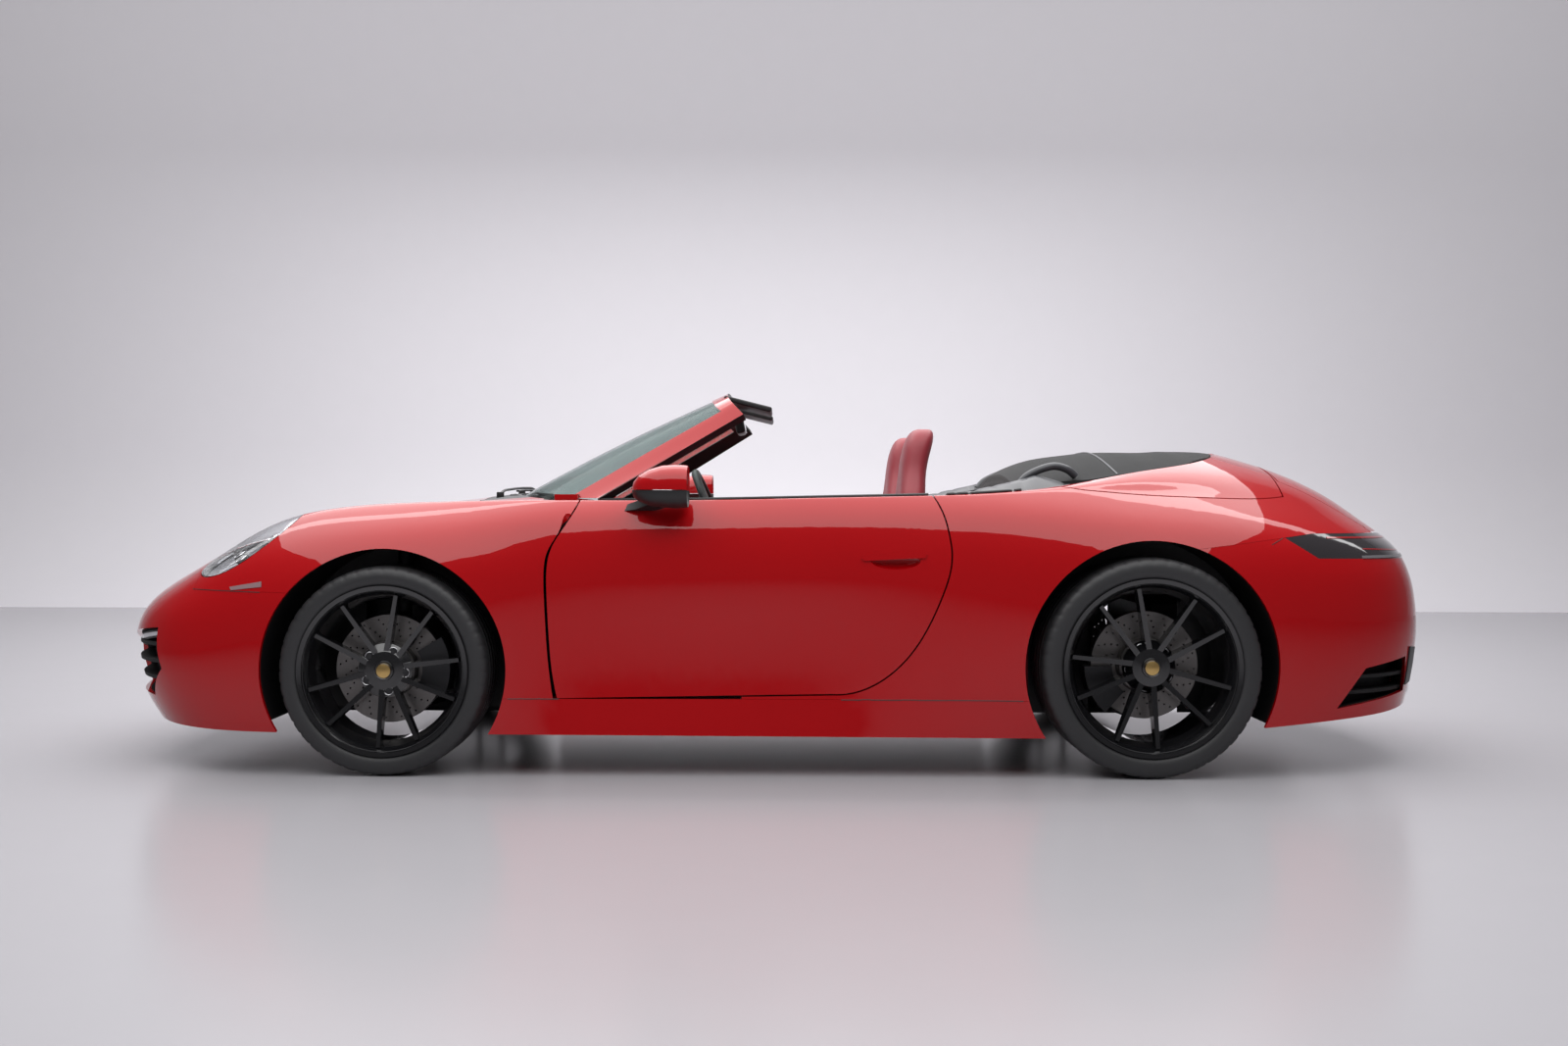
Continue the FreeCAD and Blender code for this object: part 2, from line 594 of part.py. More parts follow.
def skin_half_width(x, z):
    """How far out the body's skin is at a place on its side."""
    hits = Part.makeLine(V(x, -1100, z), V(x, -600, z)).section(
        patch(OUTER, at_left(6), at_left(13), 1.0, AT_BOTTOM).toShape())
    return max([-v.Y for v in hits.Vertexes], default=-DOOR_DEPTH_PLANE)


def doors():
    """Doors as thick as the body side, their hinges and the pillars on both sides of them."""
    block = side_block(OUTER, DOOR_DEPTH_PLANE, 7, 12.5)
    door = largest(block.common(side_cutter(door_outline(0))))
    pillar_block = side_block(BEHIND, DOOR_DEPTH_PLANE, 6, 13, 2.0)
    leafs = []
    for z in HINGE_HEIGHTS:
        pocket = rod((HINGE_X, HINGE_Y, z - 36), (HINGE_X, HINGE_Y, z + 36), POCKET_R).common(
            box(-3000, 3000, HINGE_Y - 25, 0, 0, 1500))
        barrel = rod((HINGE_X, HINGE_Y, z - BARREL_HALF), (HINGE_X, HINGE_Y, z + BARREL_HALF), BARREL_R)
        web = box(HINGE_X - 9, HINGE_X + 9, HINGE_Y - 27, HINGE_Y, z - BARREL_HALF, z + BARREL_HALF)
        bore = rod((HINGE_X, HINGE_Y, z - 40), (HINGE_X, HINGE_Y, z + 40), HINGE_PIN_R + PIN_GAP)
        door = door.cut(pocket).fuse([barrel, web]).cut(bore)
        leafs.append(hinge_leaf(z))
    door = door_handle(largest(door.removeSplitter()))
    pair("door", largest(door))
    hole = side_cutter(door_outline(SHUT_GAP))
    relief = swing_relief()
    pillars = pillar_block.cut([hole, relief, SILL_ZONE.translated(V(0, 0, SEAM))])
    front_post = largest(pillars.common(box(front(411), front(700), -1200, 0, SILL_SEAM_Z + SEAM, POST_TOP)))
    rear_post = largest(pillars.common(box(rear(-800), rear(-420), -1200, 0, SILL_SEAM_Z + SEAM,
                                          REAR_POST_TOP)))
    node("door_pillars", both_sides(Part.makeCompound([front_post, rear_post])))
    leafs = [largest(leaf.cut(front_post)) for leaf in leafs]
    node("door_hinges", both_sides(Part.makeCompound(leafs)))
    for side in ("left", "right"):
        name = "front_fender_" + side
        cutter = relief if side == "left" else mirrored(relief)
        NODES[name] = largest(NODES[name].cut(cutter))


def hinge_leaf(z):
    """The fixed half of a door hinge: a forked gooseneck and its pin."""
    pin = rod((HINGE_X, HINGE_Y, z - BARREL_HALF - 9), (HINGE_X, HINGE_Y, z + BARREL_HALF + 9), HINGE_PIN_R)
    reach = HINGE_Y + 55
    end_x = front(506)
    parts = [pin]
    for low in (z - BARREL_HALF - 1 - LEAF_THICK, z + BARREL_HALF + 1):
        plate = box(HINGE_X - 8, HINGE_X + 8, HINGE_Y - 8, reach + 8, low, low + LEAF_THICK)
        arm = box(end_x, HINGE_X + 8, reach - 8, reach + 8, low, low + LEAF_THICK)
        parts += [plate, arm]
    parts.append(box(end_x, end_x + 8, reach - 12, reach + 12, z - 29, z + 29))
    return fused(*parts)


# Floor, bulkheads and wheel housings
FLOOR_Z = 135.0
FLOOR_THICK = 20.0
TUNNEL_HALF = 110.0
TUNNEL_TOP = 330.0
CABIN_HALF = DOOR_DEPTH_PLANE - FIT_GAP
TOE_X = front(414)
REAR_WALL_X = rear(-346)
LINER_GAP = 3.0
LINER_THICK = 6.0
FRONT_LINER_IN = 500.0
REAR_LINER_IN = 592.0
ROOF_FLOOR = 905.0


def sills():
    block = side_block(OUTER, DOOR_DEPTH_PLANE, 5, 15, 2.0)
    node("side_sills", both_sides(largest(block.common(SILL_ZONE).cut([FRONT_ARCH, REAR_ARCH]))))


def floor_pan():
    """Flat floor with a centre tunnel, closed in front by the toe board and behind the rear seats."""
    top = FLOOR_Z + FLOOR_THICK
    pan = box(TOE_X + 140, REAR_WALL_X, -CABIN_HALF, CABIN_HALF, FLOOR_Z, top)
    toe = side_prism([(TOE_X + 140, FLOOR_Z), (TOE_X + 164, top), (TOE_X + 16, 428), (TOE_X + 16, 862), (TOE_X, 862),
                      (TOE_X, 420), (TOE_X + 136, top)], -CABIN_HALF, CABIN_HALF)
    keel = box(front(-830), TOE_X + 141, -300, 300, FLOOR_Z, top)
    tail = box(REAR_WALL_X - 1, rear(110), -300, 300, FLOOR_Z, top)
    tunnel = box(TOE_X + 120, REAR_WALL_X, -TUNNEL_HALF, TUNNEL_HALF, top - 1, TUNNEL_TOP)
    hollow = box(TOE_X - 20, REAR_WALL_X + 40, -TUNNEL_HALF + 12, TUNNEL_HALF - 12, FLOOR_Z - 1, TUNNEL_TOP - 12)
    wall = box(REAR_WALL_X - 15, REAR_WALL_X, -REAR_LINER_IN + FIT_GAP, REAR_LINER_IN - FIT_GAP, FLOOR_Z,
               ROOF_FLOOR - 20 - FIT_GAP)
    pan = pan.cut([arch_cutter(REAR_AXLE_X, REAR_WHEEL_R, REAR_ARCH_R + 10),
                   mirrored(arch_cutter(REAR_AXLE_X, REAR_WHEEL_R, REAR_ARCH_R + 10))])
    node("floor_pan", fused(pan, toe, keel, tail, tunnel, wall).cut(hollow))


def wheel_housing(axle_x, axle_z, radius, inner_y, k0, k1):
    """A plastic liner: a round shell over the wheel with a wall on its inner side."""
    inner = radius + LINER_GAP
    outer = inner + LINER_THICK
    shell = rod((axle_x, -1000, axle_z), (axle_x, -inner_y, axle_z), outer).cut(
        rod((axle_x, -1000, axle_z), (axle_x, -inner_y - LINER_THICK, axle_z), inner))
    fill = side_block(BEHIND, inner_y, k0, k1, 2.0)
    shell = shell.common(box(-3000, 3000, -1200, -inner_y, FLOOR_Z + 40, 1000))
    window = box(axle_x - 150, axle_x + 150, -inner_y - 20, -inner_y + 20, 0, axle_z + 220)
    sill = side_block(OUTER, DOOR_DEPTH_PLANE, 4, 16, 2.0).common(SILL_ZONE)
    return largest(shell.common(fill).cut([window, sill]))


def wheel_housings():
    front_one = wheel_housing(FRONT_AXLE_X, FRONT_WHEEL_R, FRONT_ARCH_R, FRONT_LINER_IN, 2, 9)
    rear_one = wheel_housing(REAR_AXLE_X, REAR_WHEEL_R, REAR_ARCH_R, REAR_LINER_IN, 11, 18)
    node("front_arch_liners", both_sides(front_one))
    node("rear_arch_liners", both_sides(rear_one))


def luggage_tub():
    """The open box under the hood, between the front wheel housings."""
    x0, x1, half, low, high, wall = front(-440), TOE_X - FIT_GAP, 400.0, 330.0, 740.0, 8.0
    outer = box(x0, x1, -half, half, low, high)
    inner = box(x0 + wall, x1 - wall, -half + wall, half - wall, low + wall, high + 1)
    node("luggage_tub", outer.cut(inner))


# Windscreen: five points across half of it, at the foot, halfway and at the header
SCREEN_FOOT = [(front(322), 0, 897), (front(352), 350, 895), (front(455), 600, 884), (front(540), 690, 874),
               (front(645), 741, 872)]
SCREEN_TOP = [(front(1080), 0, 1269), (front(1077), 320, 1259), (front(1086), 505, 1232), (front(1105), 574, 1207),
              (front(1138), 602, 1172)]
SCREEN_CROWN = 14.0
SCREEN_FRAME_THICK = 32.0
GLASS_THICK = 5.0
GLASS_SINK = 5.0
HEADER_FROM = 0.925
SCREEN_FRAME_LOW = 888.0


def screen_surface(depth):
    """The windscreen's face, sunk by a depth square to itself."""
    rise = (V(*SCREEN_TOP[0]) - V(*SCREEN_FOOT[0])).normalize()
    out = V(-rise.z, 0, rise.x)
    rows = []
    for foot, top in zip(SCREEN_FOOT, SCREEN_TOP):
        side = foot[1] / SCREEN_FOOT[-1][1]
        away = (out + V(0, -1.25 * side ** 3, 0)).normalize() * -depth
        a, b = V(foot[0], -foot[1], foot[2]) + away, V(top[0], -top[1], top[2]) + away
        rows.append([a, (a + b) * 0.5 + out * (2 * SCREEN_CROWN * (1 - side ** 2)), b])
    rows = rows[::-1] + [mirrored_points(r) for r in rows[1:]]
    lines = []
    for j in range(3):
        line = Part.BSplineCurve()
        line.interpolate(Points=[r[j] for r in rows], Parameters=[float(i) for i in range(len(rows))])
        lines.append(line)
    surface = Part.BSplineSurface()
    surface.buildFromPolesMultsKnots(
        [[line.getPoles()[i] for line in lines] for i in range(lines[0].NbPoles)],
        lines[0].getMultiplicities(), [3, 3], lines[0].getKnots(), [0.0, 1.0], False, False, 3, 2)
    return surface


def windscreen():
    """Two pillars and a header round the opening, with the pane sunk in it."""
    last = 2.0 * (len(SCREEN_FOOT) - 1)
    face, back = screen_surface(0), screen_surface(SCREEN_FRAME_THICK)
    frame = slab(face, back, 0, last, 0, 1)
    opening = slab(screen_surface(-40), screen_surface(SCREEN_FRAME_THICK + 40), 1, last - 1, -0.0, HEADER_FROM)
    frame = largest(frame.cut(opening))
    frame = largest(frame.cut(box(-3000, 3000, -1200, 1200, 0, SCREEN_FRAME_LOW)))
    foot = box(front(524), front(600), -738, -694, POST_TOP + FIT_GAP, SCREEN_FRAME_LOW + 12)
    node("windscreen_frame", fused(frame, foot, mirrored(foot)))
    pane = slab(screen_surface(GLASS_SINK), screen_surface(GLASS_SINK + GLASS_THICK), 1.012, last - 1.012, 0,
                HEADER_FROM - 0.003)
    node("windscreen_glass", largest(pane.cut(NODES["cowl"])))


# Running gear
FRONT_HUB = V(FRONT_AXLE_X, -FRONT_HALF_TRACK, FRONT_WHEEL_R)
REAR_HUB = V(REAR_AXLE_X, -REAR_HALF_TRACK, REAR_WHEEL_R)
MOUNT_FACE_OUT = 51.0
DISC_R = 175.0
DISC_THICK = 32.0
DISC_HAT_R = 92.0
HUB_BORE_R = 32.0
AXLE_END_R = HUB_BORE_R - PIN_GAP
BOLT_CIRCLE_R = 65.0
SPOKE_PAIRS = 5
RIM_FLANGE = 18.0
FLANGE_WIDE = 7.0


def turned(profile, hub):
    """A profile of (distance out along the axle, radius) points turned round the wheel's axle."""
    points = [V(hub.x, hub.y - out, hub.z + r) for out, r in profile]
    return closed_face(points).revolve(hub, V(0, 1, 0), 360)


def tyre(hub, radius, width, rim_r):
    half = width / 2.0
    seat = rim_r - RIM_FLANGE + FIT_GAP
    bead = half - FLANGE_WIDE - 2 * FIT_GAP - 2
    profile = [(-bead, seat), (-bead, rim_r + 2), (-half, radius - 38), (-half + 12, radius - 12),
               (-half + 34, radius), (half - 34, radius), (half - 12, radius - 12), (half, radius - 38),
               (bead, rim_r + 2), (bead, seat)]
    return turned(profile, hub)


def rim(hub, width, rim_r, turn):
    """A barrel with a hub and ten slim spokes in five splayed pairs."""
    half = width / 2.0 - 2
    seat = rim_r - RIM_FLANGE
    lip = half - FLANGE_WIDE
    well = seat - 18
    barrel = turned([(-lip, seat), (-lip, rim_r), (-half, rim_r), (-half, seat - 9), (-half + 36, seat - 9),
                     (-half + 66, well - 9), (half - 66, well - 9), (half - 26, seat - 11), (half - 3, rim_r - 14),
                     (half, rim_r), (lip, rim_r), (lip, seat), (half - 30, seat), (half - 68, well),
                     (-half + 68, well), (-half + 38, seat)], hub)
    face_out = half - 14
    centre = turned([(MOUNT_FACE_OUT, HUB_BORE_R), (MOUNT_FACE_OUT, 84), (MOUNT_FACE_OUT + 18, 86),
                     (face_out - 24, 60), (face_out - 22, HUB_BORE_R)], hub)
    spokes = []
    for k in range(SPOKE_PAIRS):
        middle = turn + k * 360.0 / SPOKE_PAIRS
        for lean in (-1, 1):
            spokes.append(spoke(hub, middle, lean, seat, face_out))
    return centre.fuse([barrel] + spokes)


def spoke(hub, middle, lean, seat, face_out):
    """One tapered spoke between the hub and the barrel."""
    near, far = math.radians(middle + lean * 20), math.radians(middle + lean * 15)
    sections = []
    for r, at, half, front_out, back_out in ((56, near, 13, face_out - 26, MOUNT_FACE_OUT + 2),
                                             (seat - 10, far, 9, face_out - 2, face_out - 30)):
        c, s = math.cos(at), math.sin(at)
        corners = []
        for across, out in ((-half, back_out), (-half * 0.7, front_out), (half * 0.7, front_out), (half, back_out)):
            corners.append(V(hub.x + c * r - s * across, hub.y - out, hub.z + s * r + c * across))
        sections.append(Part.makePolygon(corners + [corners[0]]))
    return Part.makeLoft(sections, True, True)


def brake_disc(hub, plane_out):
    """A brake disc and its hat, seated on the back of the wheel's hub."""
    return turned([(MOUNT_FACE_OUT - 0.1, HUB_BORE_R), (MOUNT_FACE_OUT - 0.1, DISC_HAT_R), (plane_out, DISC_HAT_R),
                   (plane_out, DISC_R), (plane_out - DISC_THICK, DISC_R), (plane_out - DISC_THICK, DISC_HAT_R - 12),
                   (MOUNT_FACE_OUT - 8, DISC_HAT_R - 12), (MOUNT_FACE_OUT - 8, HUB_BORE_R)], hub)


def caliper(hub, plane_out, middle, sweep):
    """A curved brake caliper bridging the disc's rim."""
    low, high = plane_out - DISC_THICK - 38, plane_out + 34
    band = turned([(low, 112), (low, DISC_R + 26), (high, DISC_R + 26), (high, 112)], hub)
    slot = turned([(plane_out - DISC_THICK - 5, 60), (plane_out - DISC_THICK - 5, DISC_R + 6),
                   (plane_out + 5, DISC_R + 6), (plane_out + 5, 60)], hub)
    far = 400.0
    a, b = math.radians(middle - sweep / 2.0), math.radians(middle + sweep / 2.0)
    wedge = closed_face([V(hub.x, hub.y - 200, hub.z),
                         V(hub.x + far * math.cos(a), hub.y - 200, hub.z + far * math.sin(a)),
                         V(hub.x + far * math.cos(b), hub.y - 200, hub.z + far * math.sin(b))]).extrude(V(0, 400, 0))
    return band.cut(slot).common(wedge)


DISC_OUT = 6.0
KINGPIN_Y = FRONT_HUB.y + KINGPIN_INSET
KINGPIN_R = 11.0
LOWER_BALL_Z = 205.0
UPPER_BALL_Z = 478.0
STRUT_Y = -598.0
STRUT_TOP_Z = FRONT_WHEEL_R + FRONT_ARCH_R - 2.0
FRONT_CALIPER_AT = 5.0
REAR_CALIPER_AT = 205.0
ENGINE_LOW = 230.0
SILENCER_X = rear(760)


def stub_axle(hub, y_from):
    """The fixed axle end, a running fit in the wheel's hub and the disc's hat."""
    end = hub.y - MOUNT_FACE_OUT - 40
    return rod((hub.x, y_from, hub.z), (hub.x, end, hub.z), AXLE_END_R)


def front_knuckle():
    """The steered upright with its stub axle and caliper, on two kingpin eyes."""
    hub = FRONT_HUB
    upright = rod((hub.x, KINGPIN_Y, LOWER_BALL_Z), (hub.x, KINGPIN_Y, UPPER_BALL_Z), 19)
    boss = rod((hub.x, KINGPIN_Y + 24, hub.z), (hub.x, KINGPIN_Y - 18, hub.z), 46)
    arm = side_prism([(hub.x, hub.z + 34), (hub.x + 128, hub.z + 46), (hub.x + 128, hub.z - 20), (hub.x, hub.z - 34)],
                     KINGPIN_Y - 6, KINGPIN_Y + 12)
    body = fused(upright, boss, arm, stub_axle(hub, KINGPIN_Y))
    brake = caliper(hub, DISC_OUT, FRONT_CALIPER_AT, 52)
    bore = rod((hub.x, KINGPIN_Y, LOWER_BALL_Z - 1), (hub.x, KINGPIN_Y, LOWER_BALL_Z + 36), KINGPIN_R + PIN_GAP)
    top = rod((hub.x, KINGPIN_Y, UPPER_BALL_Z - 36), (hub.x, KINGPIN_Y, UPPER_BALL_Z + 1), KINGPIN_R + PIN_GAP)
    return body.fuse(brake).cut([bore, top]).removeSplitter()


def front_suspension():
    """Lower arms, struts and the subframe that hold both front knuckles."""
    hub = FRONT_HUB
    low_pin = rod((hub.x, KINGPIN_Y, LOWER_BALL_Z - 22), (hub.x, KINGPIN_Y, LOWER_BALL_Z + 34), KINGPIN_R)
    low_arm = plan_prism([(hub.x - 18, KINGPIN_Y - 11), (hub.x + 18, KINGPIN_Y - 11), (hub.x + 120, -330),
                          (hub.x - 120, -330)], LOWER_BALL_Z - 24, LOWER_BALL_Z - 5)
    high_pin = rod((hub.x, KINGPIN_Y, UPPER_BALL_Z - 34), (hub.x, KINGPIN_Y, UPPER_BALL_Z + 22), KINGPIN_R)
    high_arm = box(hub.x - 18, hub.x + 18, KINGPIN_Y - 11, STRUT_Y + 10, UPPER_BALL_Z + 5, UPPER_BALL_Z + 30)
    strut = rod((hub.x, STRUT_Y, UPPER_BALL_Z - 30), (hub.x, STRUT_Y + 30, STRUT_TOP_Z), 26)
    half = fused(low_arm, low_pin)
    tower = fused(high_arm, high_pin, strut)
    beam = box(hub.x - 130, hub.x + 130, -336, 336, FLOOR_Z + FLOOR_THICK, LOWER_BALL_Z - 4)
    link = rod((hub.x, STRUT_Y, UPPER_BALL_Z - 10), (hub.x, -330, LOWER_BALL_Z - 20), 16)
    left = fused(half, tower, link)
    node("front_suspension", beam.fuse([left, mirrored(left)]).removeSplitter())


def rear_suspension():
    """Fixed rear uprights with stub axles and calipers, their arms and the cross beam."""
    hub = REAR_HUB
    inner_y = hub.y + 45
    upright = box(hub.x - 40, hub.x + 40, inner_y - 14, inner_y + 22, LOWER_BALL_Z - 10, 520)
    low_arm = plan_prism([(hub.x - 60, inner_y), (hub.x + 60, inner_y), (hub.x + 130, -320), (hub.x - 130, -320)],
                         LOWER_BALL_Z - 24, LOWER_BALL_Z + 4)
    high_arm = rod((hub.x, inner_y + 5, 500), (hub.x, -320, 470), 15)
    beam = box(hub.x - 70, hub.x + 55, -330, 330, FLOOR_Z + FLOOR_THICK, LOWER_BALL_Z + 6)
    post = box(hub.x - 30, hub.x + 30, -332, -300, LOWER_BALL_Z, 490)
    rail = box(hub.x + 40, SILENCER_X - FIT_GAP, -225, -185, LOWER_BALL_Z - 10, ENGINE_LOW - FIT_GAP)
    left = fused(upright, low_arm, high_arm, post, rail, stub_axle(hub, inner_y), caliper_arm(hub, inner_y))
    brake = caliper(hub, DISC_OUT, REAR_CALIPER_AT, 48)
    node("rear_suspension", beam.fuse([left, mirrored(left), brake, mirrored(brake)]).removeSplitter())


def caliper_arm(hub, inner_y):
    return side_prism([(hub.x, hub.z + 30), (hub.x - 128, hub.z - 20), (hub.x - 128, hub.z - 80), (hub.x, hub.z - 40)],
                      inner_y - 1, inner_y + 14)


def wheels():
    for axle, hub, radius, width, rim_r, turn in (
            ("front", FRONT_HUB, FRONT_WHEEL_R, FRONT_TYRE_W, FRONT_RIM_R, 65.5),
            ("rear", REAR_HUB, REAR_WHEEL_R, REAR_TYRE_W, REAR_RIM_R, 43.0)):
        pair("tyre_" + axle, tyre(hub, radius, width, rim_r))
        pair("rim_" + axle, rim(hub, width, rim_r, turn))
        pair("disc_" + axle, brake_disc(hub, DISC_OUT))
    pair("knuckle_front", front_knuckle())


# Cabin
SEAT_Y = 372.0
DASH_FRONT_X = TOE_X + 16.3
DASH_REAR_X = front(890)
DASH_HALF = 685.0
STEER_CENTRE = V(front(1040), -SEAT_Y, 812)
STEER_LEAN = 24.0
STEER_R = 180.0
STEER_GRIP_R = 14.0
COLUMN_R = 24.0


def steer_axis():
    """From the dash along the steering column towards the driver."""
    a = math.radians(STEER_LEAN)
    return V(math.cos(a), 0, math.sin(a))


def dashboard():
    """The padded dash across the cabin, with a hood over the instruments and the column below it."""
    section = [V(DASH_FRONT_X, 0, 560), V(DASH_REAR_X - 40, 0, 590), V(DASH_REAR_X, 0, 660),
               V(DASH_REAR_X - 8, 0, 760), V(DASH_REAR_X - 60, 0, 822), V(DASH_FRONT_X + 120, 0, 862),
               V(DASH_FRONT_X, 0, 862)]
    beam = closed_face([p + V(0, -DASH_HALF, 0) for p in section]).extrude(V(0, 2 * DASH_HALF, 0))
    binnacle = side_prism([(DASH_REAR_X - 190, 800), (DASH_REAR_X - 20, 800), (DASH_REAR_X + 26, 872),
                           (DASH_REAR_X - 60, 888), (DASH_REAR_X - 190, 862)], -SEAT_Y - 175, -SEAT_Y + 175)
    column = Part.makeCylinder(COLUMN_R, 230, STEER_CENTRE - steer_axis() * 262, steer_axis())
    spindle = Part.makeCylinder(9, 90, STEER_CENTRE - steer_axis() * 80, steer_axis())
    node("dashboard", fused(beam, binnacle, column, spindle))


def steering_wheel():
    """Round rim, three spokes and a hub that runs on the column's spindle."""
    axis = steer_axis()
    grip = Part.makeTorus(STEER_R, STEER_GRIP_R, STEER_CENTRE, axis)
    hub = Part.makeCone(62, 50, 44, STEER_CENTRE - axis * 24, axis)
    up = V(-axis.z, 0, axis.x)
    side = V(0, 1, 0)
    spokes = []
    for out in (side, side * -1, up * -1):
        across = axis.cross(out)
        bar = Part.makePolygon([STEER_CENTRE + out * 30 + across * w + axis * h for w, h in
                                ((-18, -8), (18, -8), (18, 6), (-18, 6), (-18, -8))])
        spokes.append(Part.Face(bar).extrude(out * (STEER_R - 30)))
    bore = Part.makeCylinder(9 + PIN_GAP, 36, STEER_CENTRE - axis * 25, axis)
    node("steering_wheel", fused(grip, hub, *spokes).cut(bore))


def seat(y):
    """A front seat in side view, as wide as its bolsters, on two rails."""
    cushion = side_prism([(rear(-1245), 300), (rear(-1240), 465), (rear(-820), 420), (rear(-780), 295)],
                         y - 245, y + 245)
    back = side_prism([(rear(-830), 330), (rear(-890), 440), (rear(-850), 640), (rear(-785), 900),
                       (rear(-690), 900), (rear(-700), 700), (rear(-745), 340)], y - 240, y + 240)
    head = side_prism([(rear(-778), 860), (rear(-755), 1110), (rear(-700), 1135),
                       (rear(-640), 1070), (rear(-680), 860)], y - 135, y + 135)
    rails = [box(rear(-1200), rear(-760), y + side - 14, y + side + 14, FLOOR_Z + FLOOR_THICK + FIT_GAP, 302)
             for side in (-190, 190)]
    soft = fused(rounded(cushion, 22), rounded(back, 22), rounded(head, 20))
    return fused(soft, *rails)


def rounded(shape, radius):
    """Every edge of a padded block rounded, as far as the block allows."""
    return shape.makeFillet(radius, shape.Edges)


def rear_seats():
    """Two small padded seats and their backrest against the rear wall."""
    parts = []
    for y in (-300.0, 300.0):
        parts.append(rounded(box(rear(-600), rear(-410), y - 170, y + 170, TUNNEL_TOP + 60, 470), 18))
        parts.append(rounded(box(rear(-450), REAR_WALL_X - 15.3, y - 170, y + 170, 440, 800), 18))
    base = box(rear(-596), REAR_WALL_X - 15.3, -470, 470, FLOOR_Z + FLOOR_THICK + FIT_GAP, TUNNEL_TOP + 64)
    gap = box(rear(-640), REAR_WALL_X, -TUNNEL_HALF - FIT_GAP, TUNNEL_HALF + FIT_GAP, 0, TUNNEL_TOP + FIT_GAP)
    node("rear_seats", fused(base.cut(gap), *parts))


def console():
    low = TUNNEL_TOP + FIT_GAP
    body = side_prism([(front(760), low), (front(760), 590), (DASH_REAR_X - 50, 588), (front(1010), 520),
                       (front(1250), 455), (front(1620), 470), (front(1650), low)], -112, 112)
    node("centre_console", body.cut(box(DASH_FRONT_X, DASH_REAR_X - 30, -200, 200, 556, 700)))


# Folded roof and its well
ROOF_SECTIONS = [(rear(-395), 556, 925, 975), (rear(-300), 584, 934, 1022), (rear(-150), 592, 950, 1052),
                 (rear(40), 546, 978, 1062), (rear(210), 443, 1008, 1064), (rear(330), 296, 1034, 1064),
                 (rear(374), 170, 1048, 1062)]


def folded_top():
    """The roof cloth folded in its well: a low mound that narrows towards the rear."""
    wires = []
    for x, half, edge, crown in ROOF_SECTIONS:
        over = spline([V(x, -half, edge), V(x, -half * 0.6, (edge + 2 * crown) / 3), V(x, 0, crown),
                       V(x, half * 0.6, (edge + 2 * crown) / 3), V(x, half, edge)])
        wires.append(Part.Wire([over, Part.makeLine(V(x, half, edge), V(x, half, ROOF_FLOOR)),
                                Part.makeLine(V(x, half, ROOF_FLOOR), V(x, -half, ROOF_FLOOR)),
                                Part.makeLine(V(x, -half, ROOF_FLOOR), V(x, -half, edge))]))
    node("folded_top", Part.makeLoft(wires, True, False))


def under_skin(k0, k1, v1=3.0):
    """The space below the upper body's skin on the left side."""
    return patch(INNER, at_left(k0), at_left(k1), 0, v1).toShape().extrude(V(0, 0, -600))


def roof_well():
    """The tray that the folded roof lies in, with the posts that carry the painted lid over its edge."""
    tray = plan_prism([(rear(-361), -588), (rear(-150), -588), (rear(200), -470), (rear(330), -330), (rear(378), -190),
                       (rear(378), 190), (rear(330), 330), (rear(200), 470), (rear(-150), 588), (rear(-361), 588)],
                      ROOF_FLOOR - 20, ROOF_FLOOR - FIT_GAP)
    rail = plan_prism([(rear(-150), -560), (rear(200), -440), (rear(330), -300), (rear(420), -240), (rear(420), -300),
                       (rear(350), -400), (rear(230), -520), (rear(-100), -690), (rear(-150), -690)],
                      ROOF_FLOOR - 20, ROOF_FLOOR - FIT_GAP)
    posts = [rod((x, y, ROOF_FLOOR - 20), (x, y, 1100), 12) for x, y in
             ((rear(-60), -662), (rear(240), -500), (rear(400), -262))]
    below = under_skin(12.5, 19.9)
    carried = [largest(p.common(below)) for p in posts]
    tray = fused(tray, rail, mirrored(rail), *(carried + [mirrored(p) for p in carried]))
    node("roof_well", tray)


# Cross beams behind the bumpers, with a threaded towing socket in each
TOW_Y = 225.0
TOW_Z = 300.0
TOW_REAR_Z = 432.0
TOW_THREAD_R = 8.0
TOW_THREAD_LONG = 45.0
FRONT_TOW_X = front(-925)
REAR_TOW_X = rear(1020)
JACK_PAD_R = 32.0
JACK_PAD_LOW = 122.0
JACK_PLACES = ((front(560), 630.0), (rear(-520), 630.0))


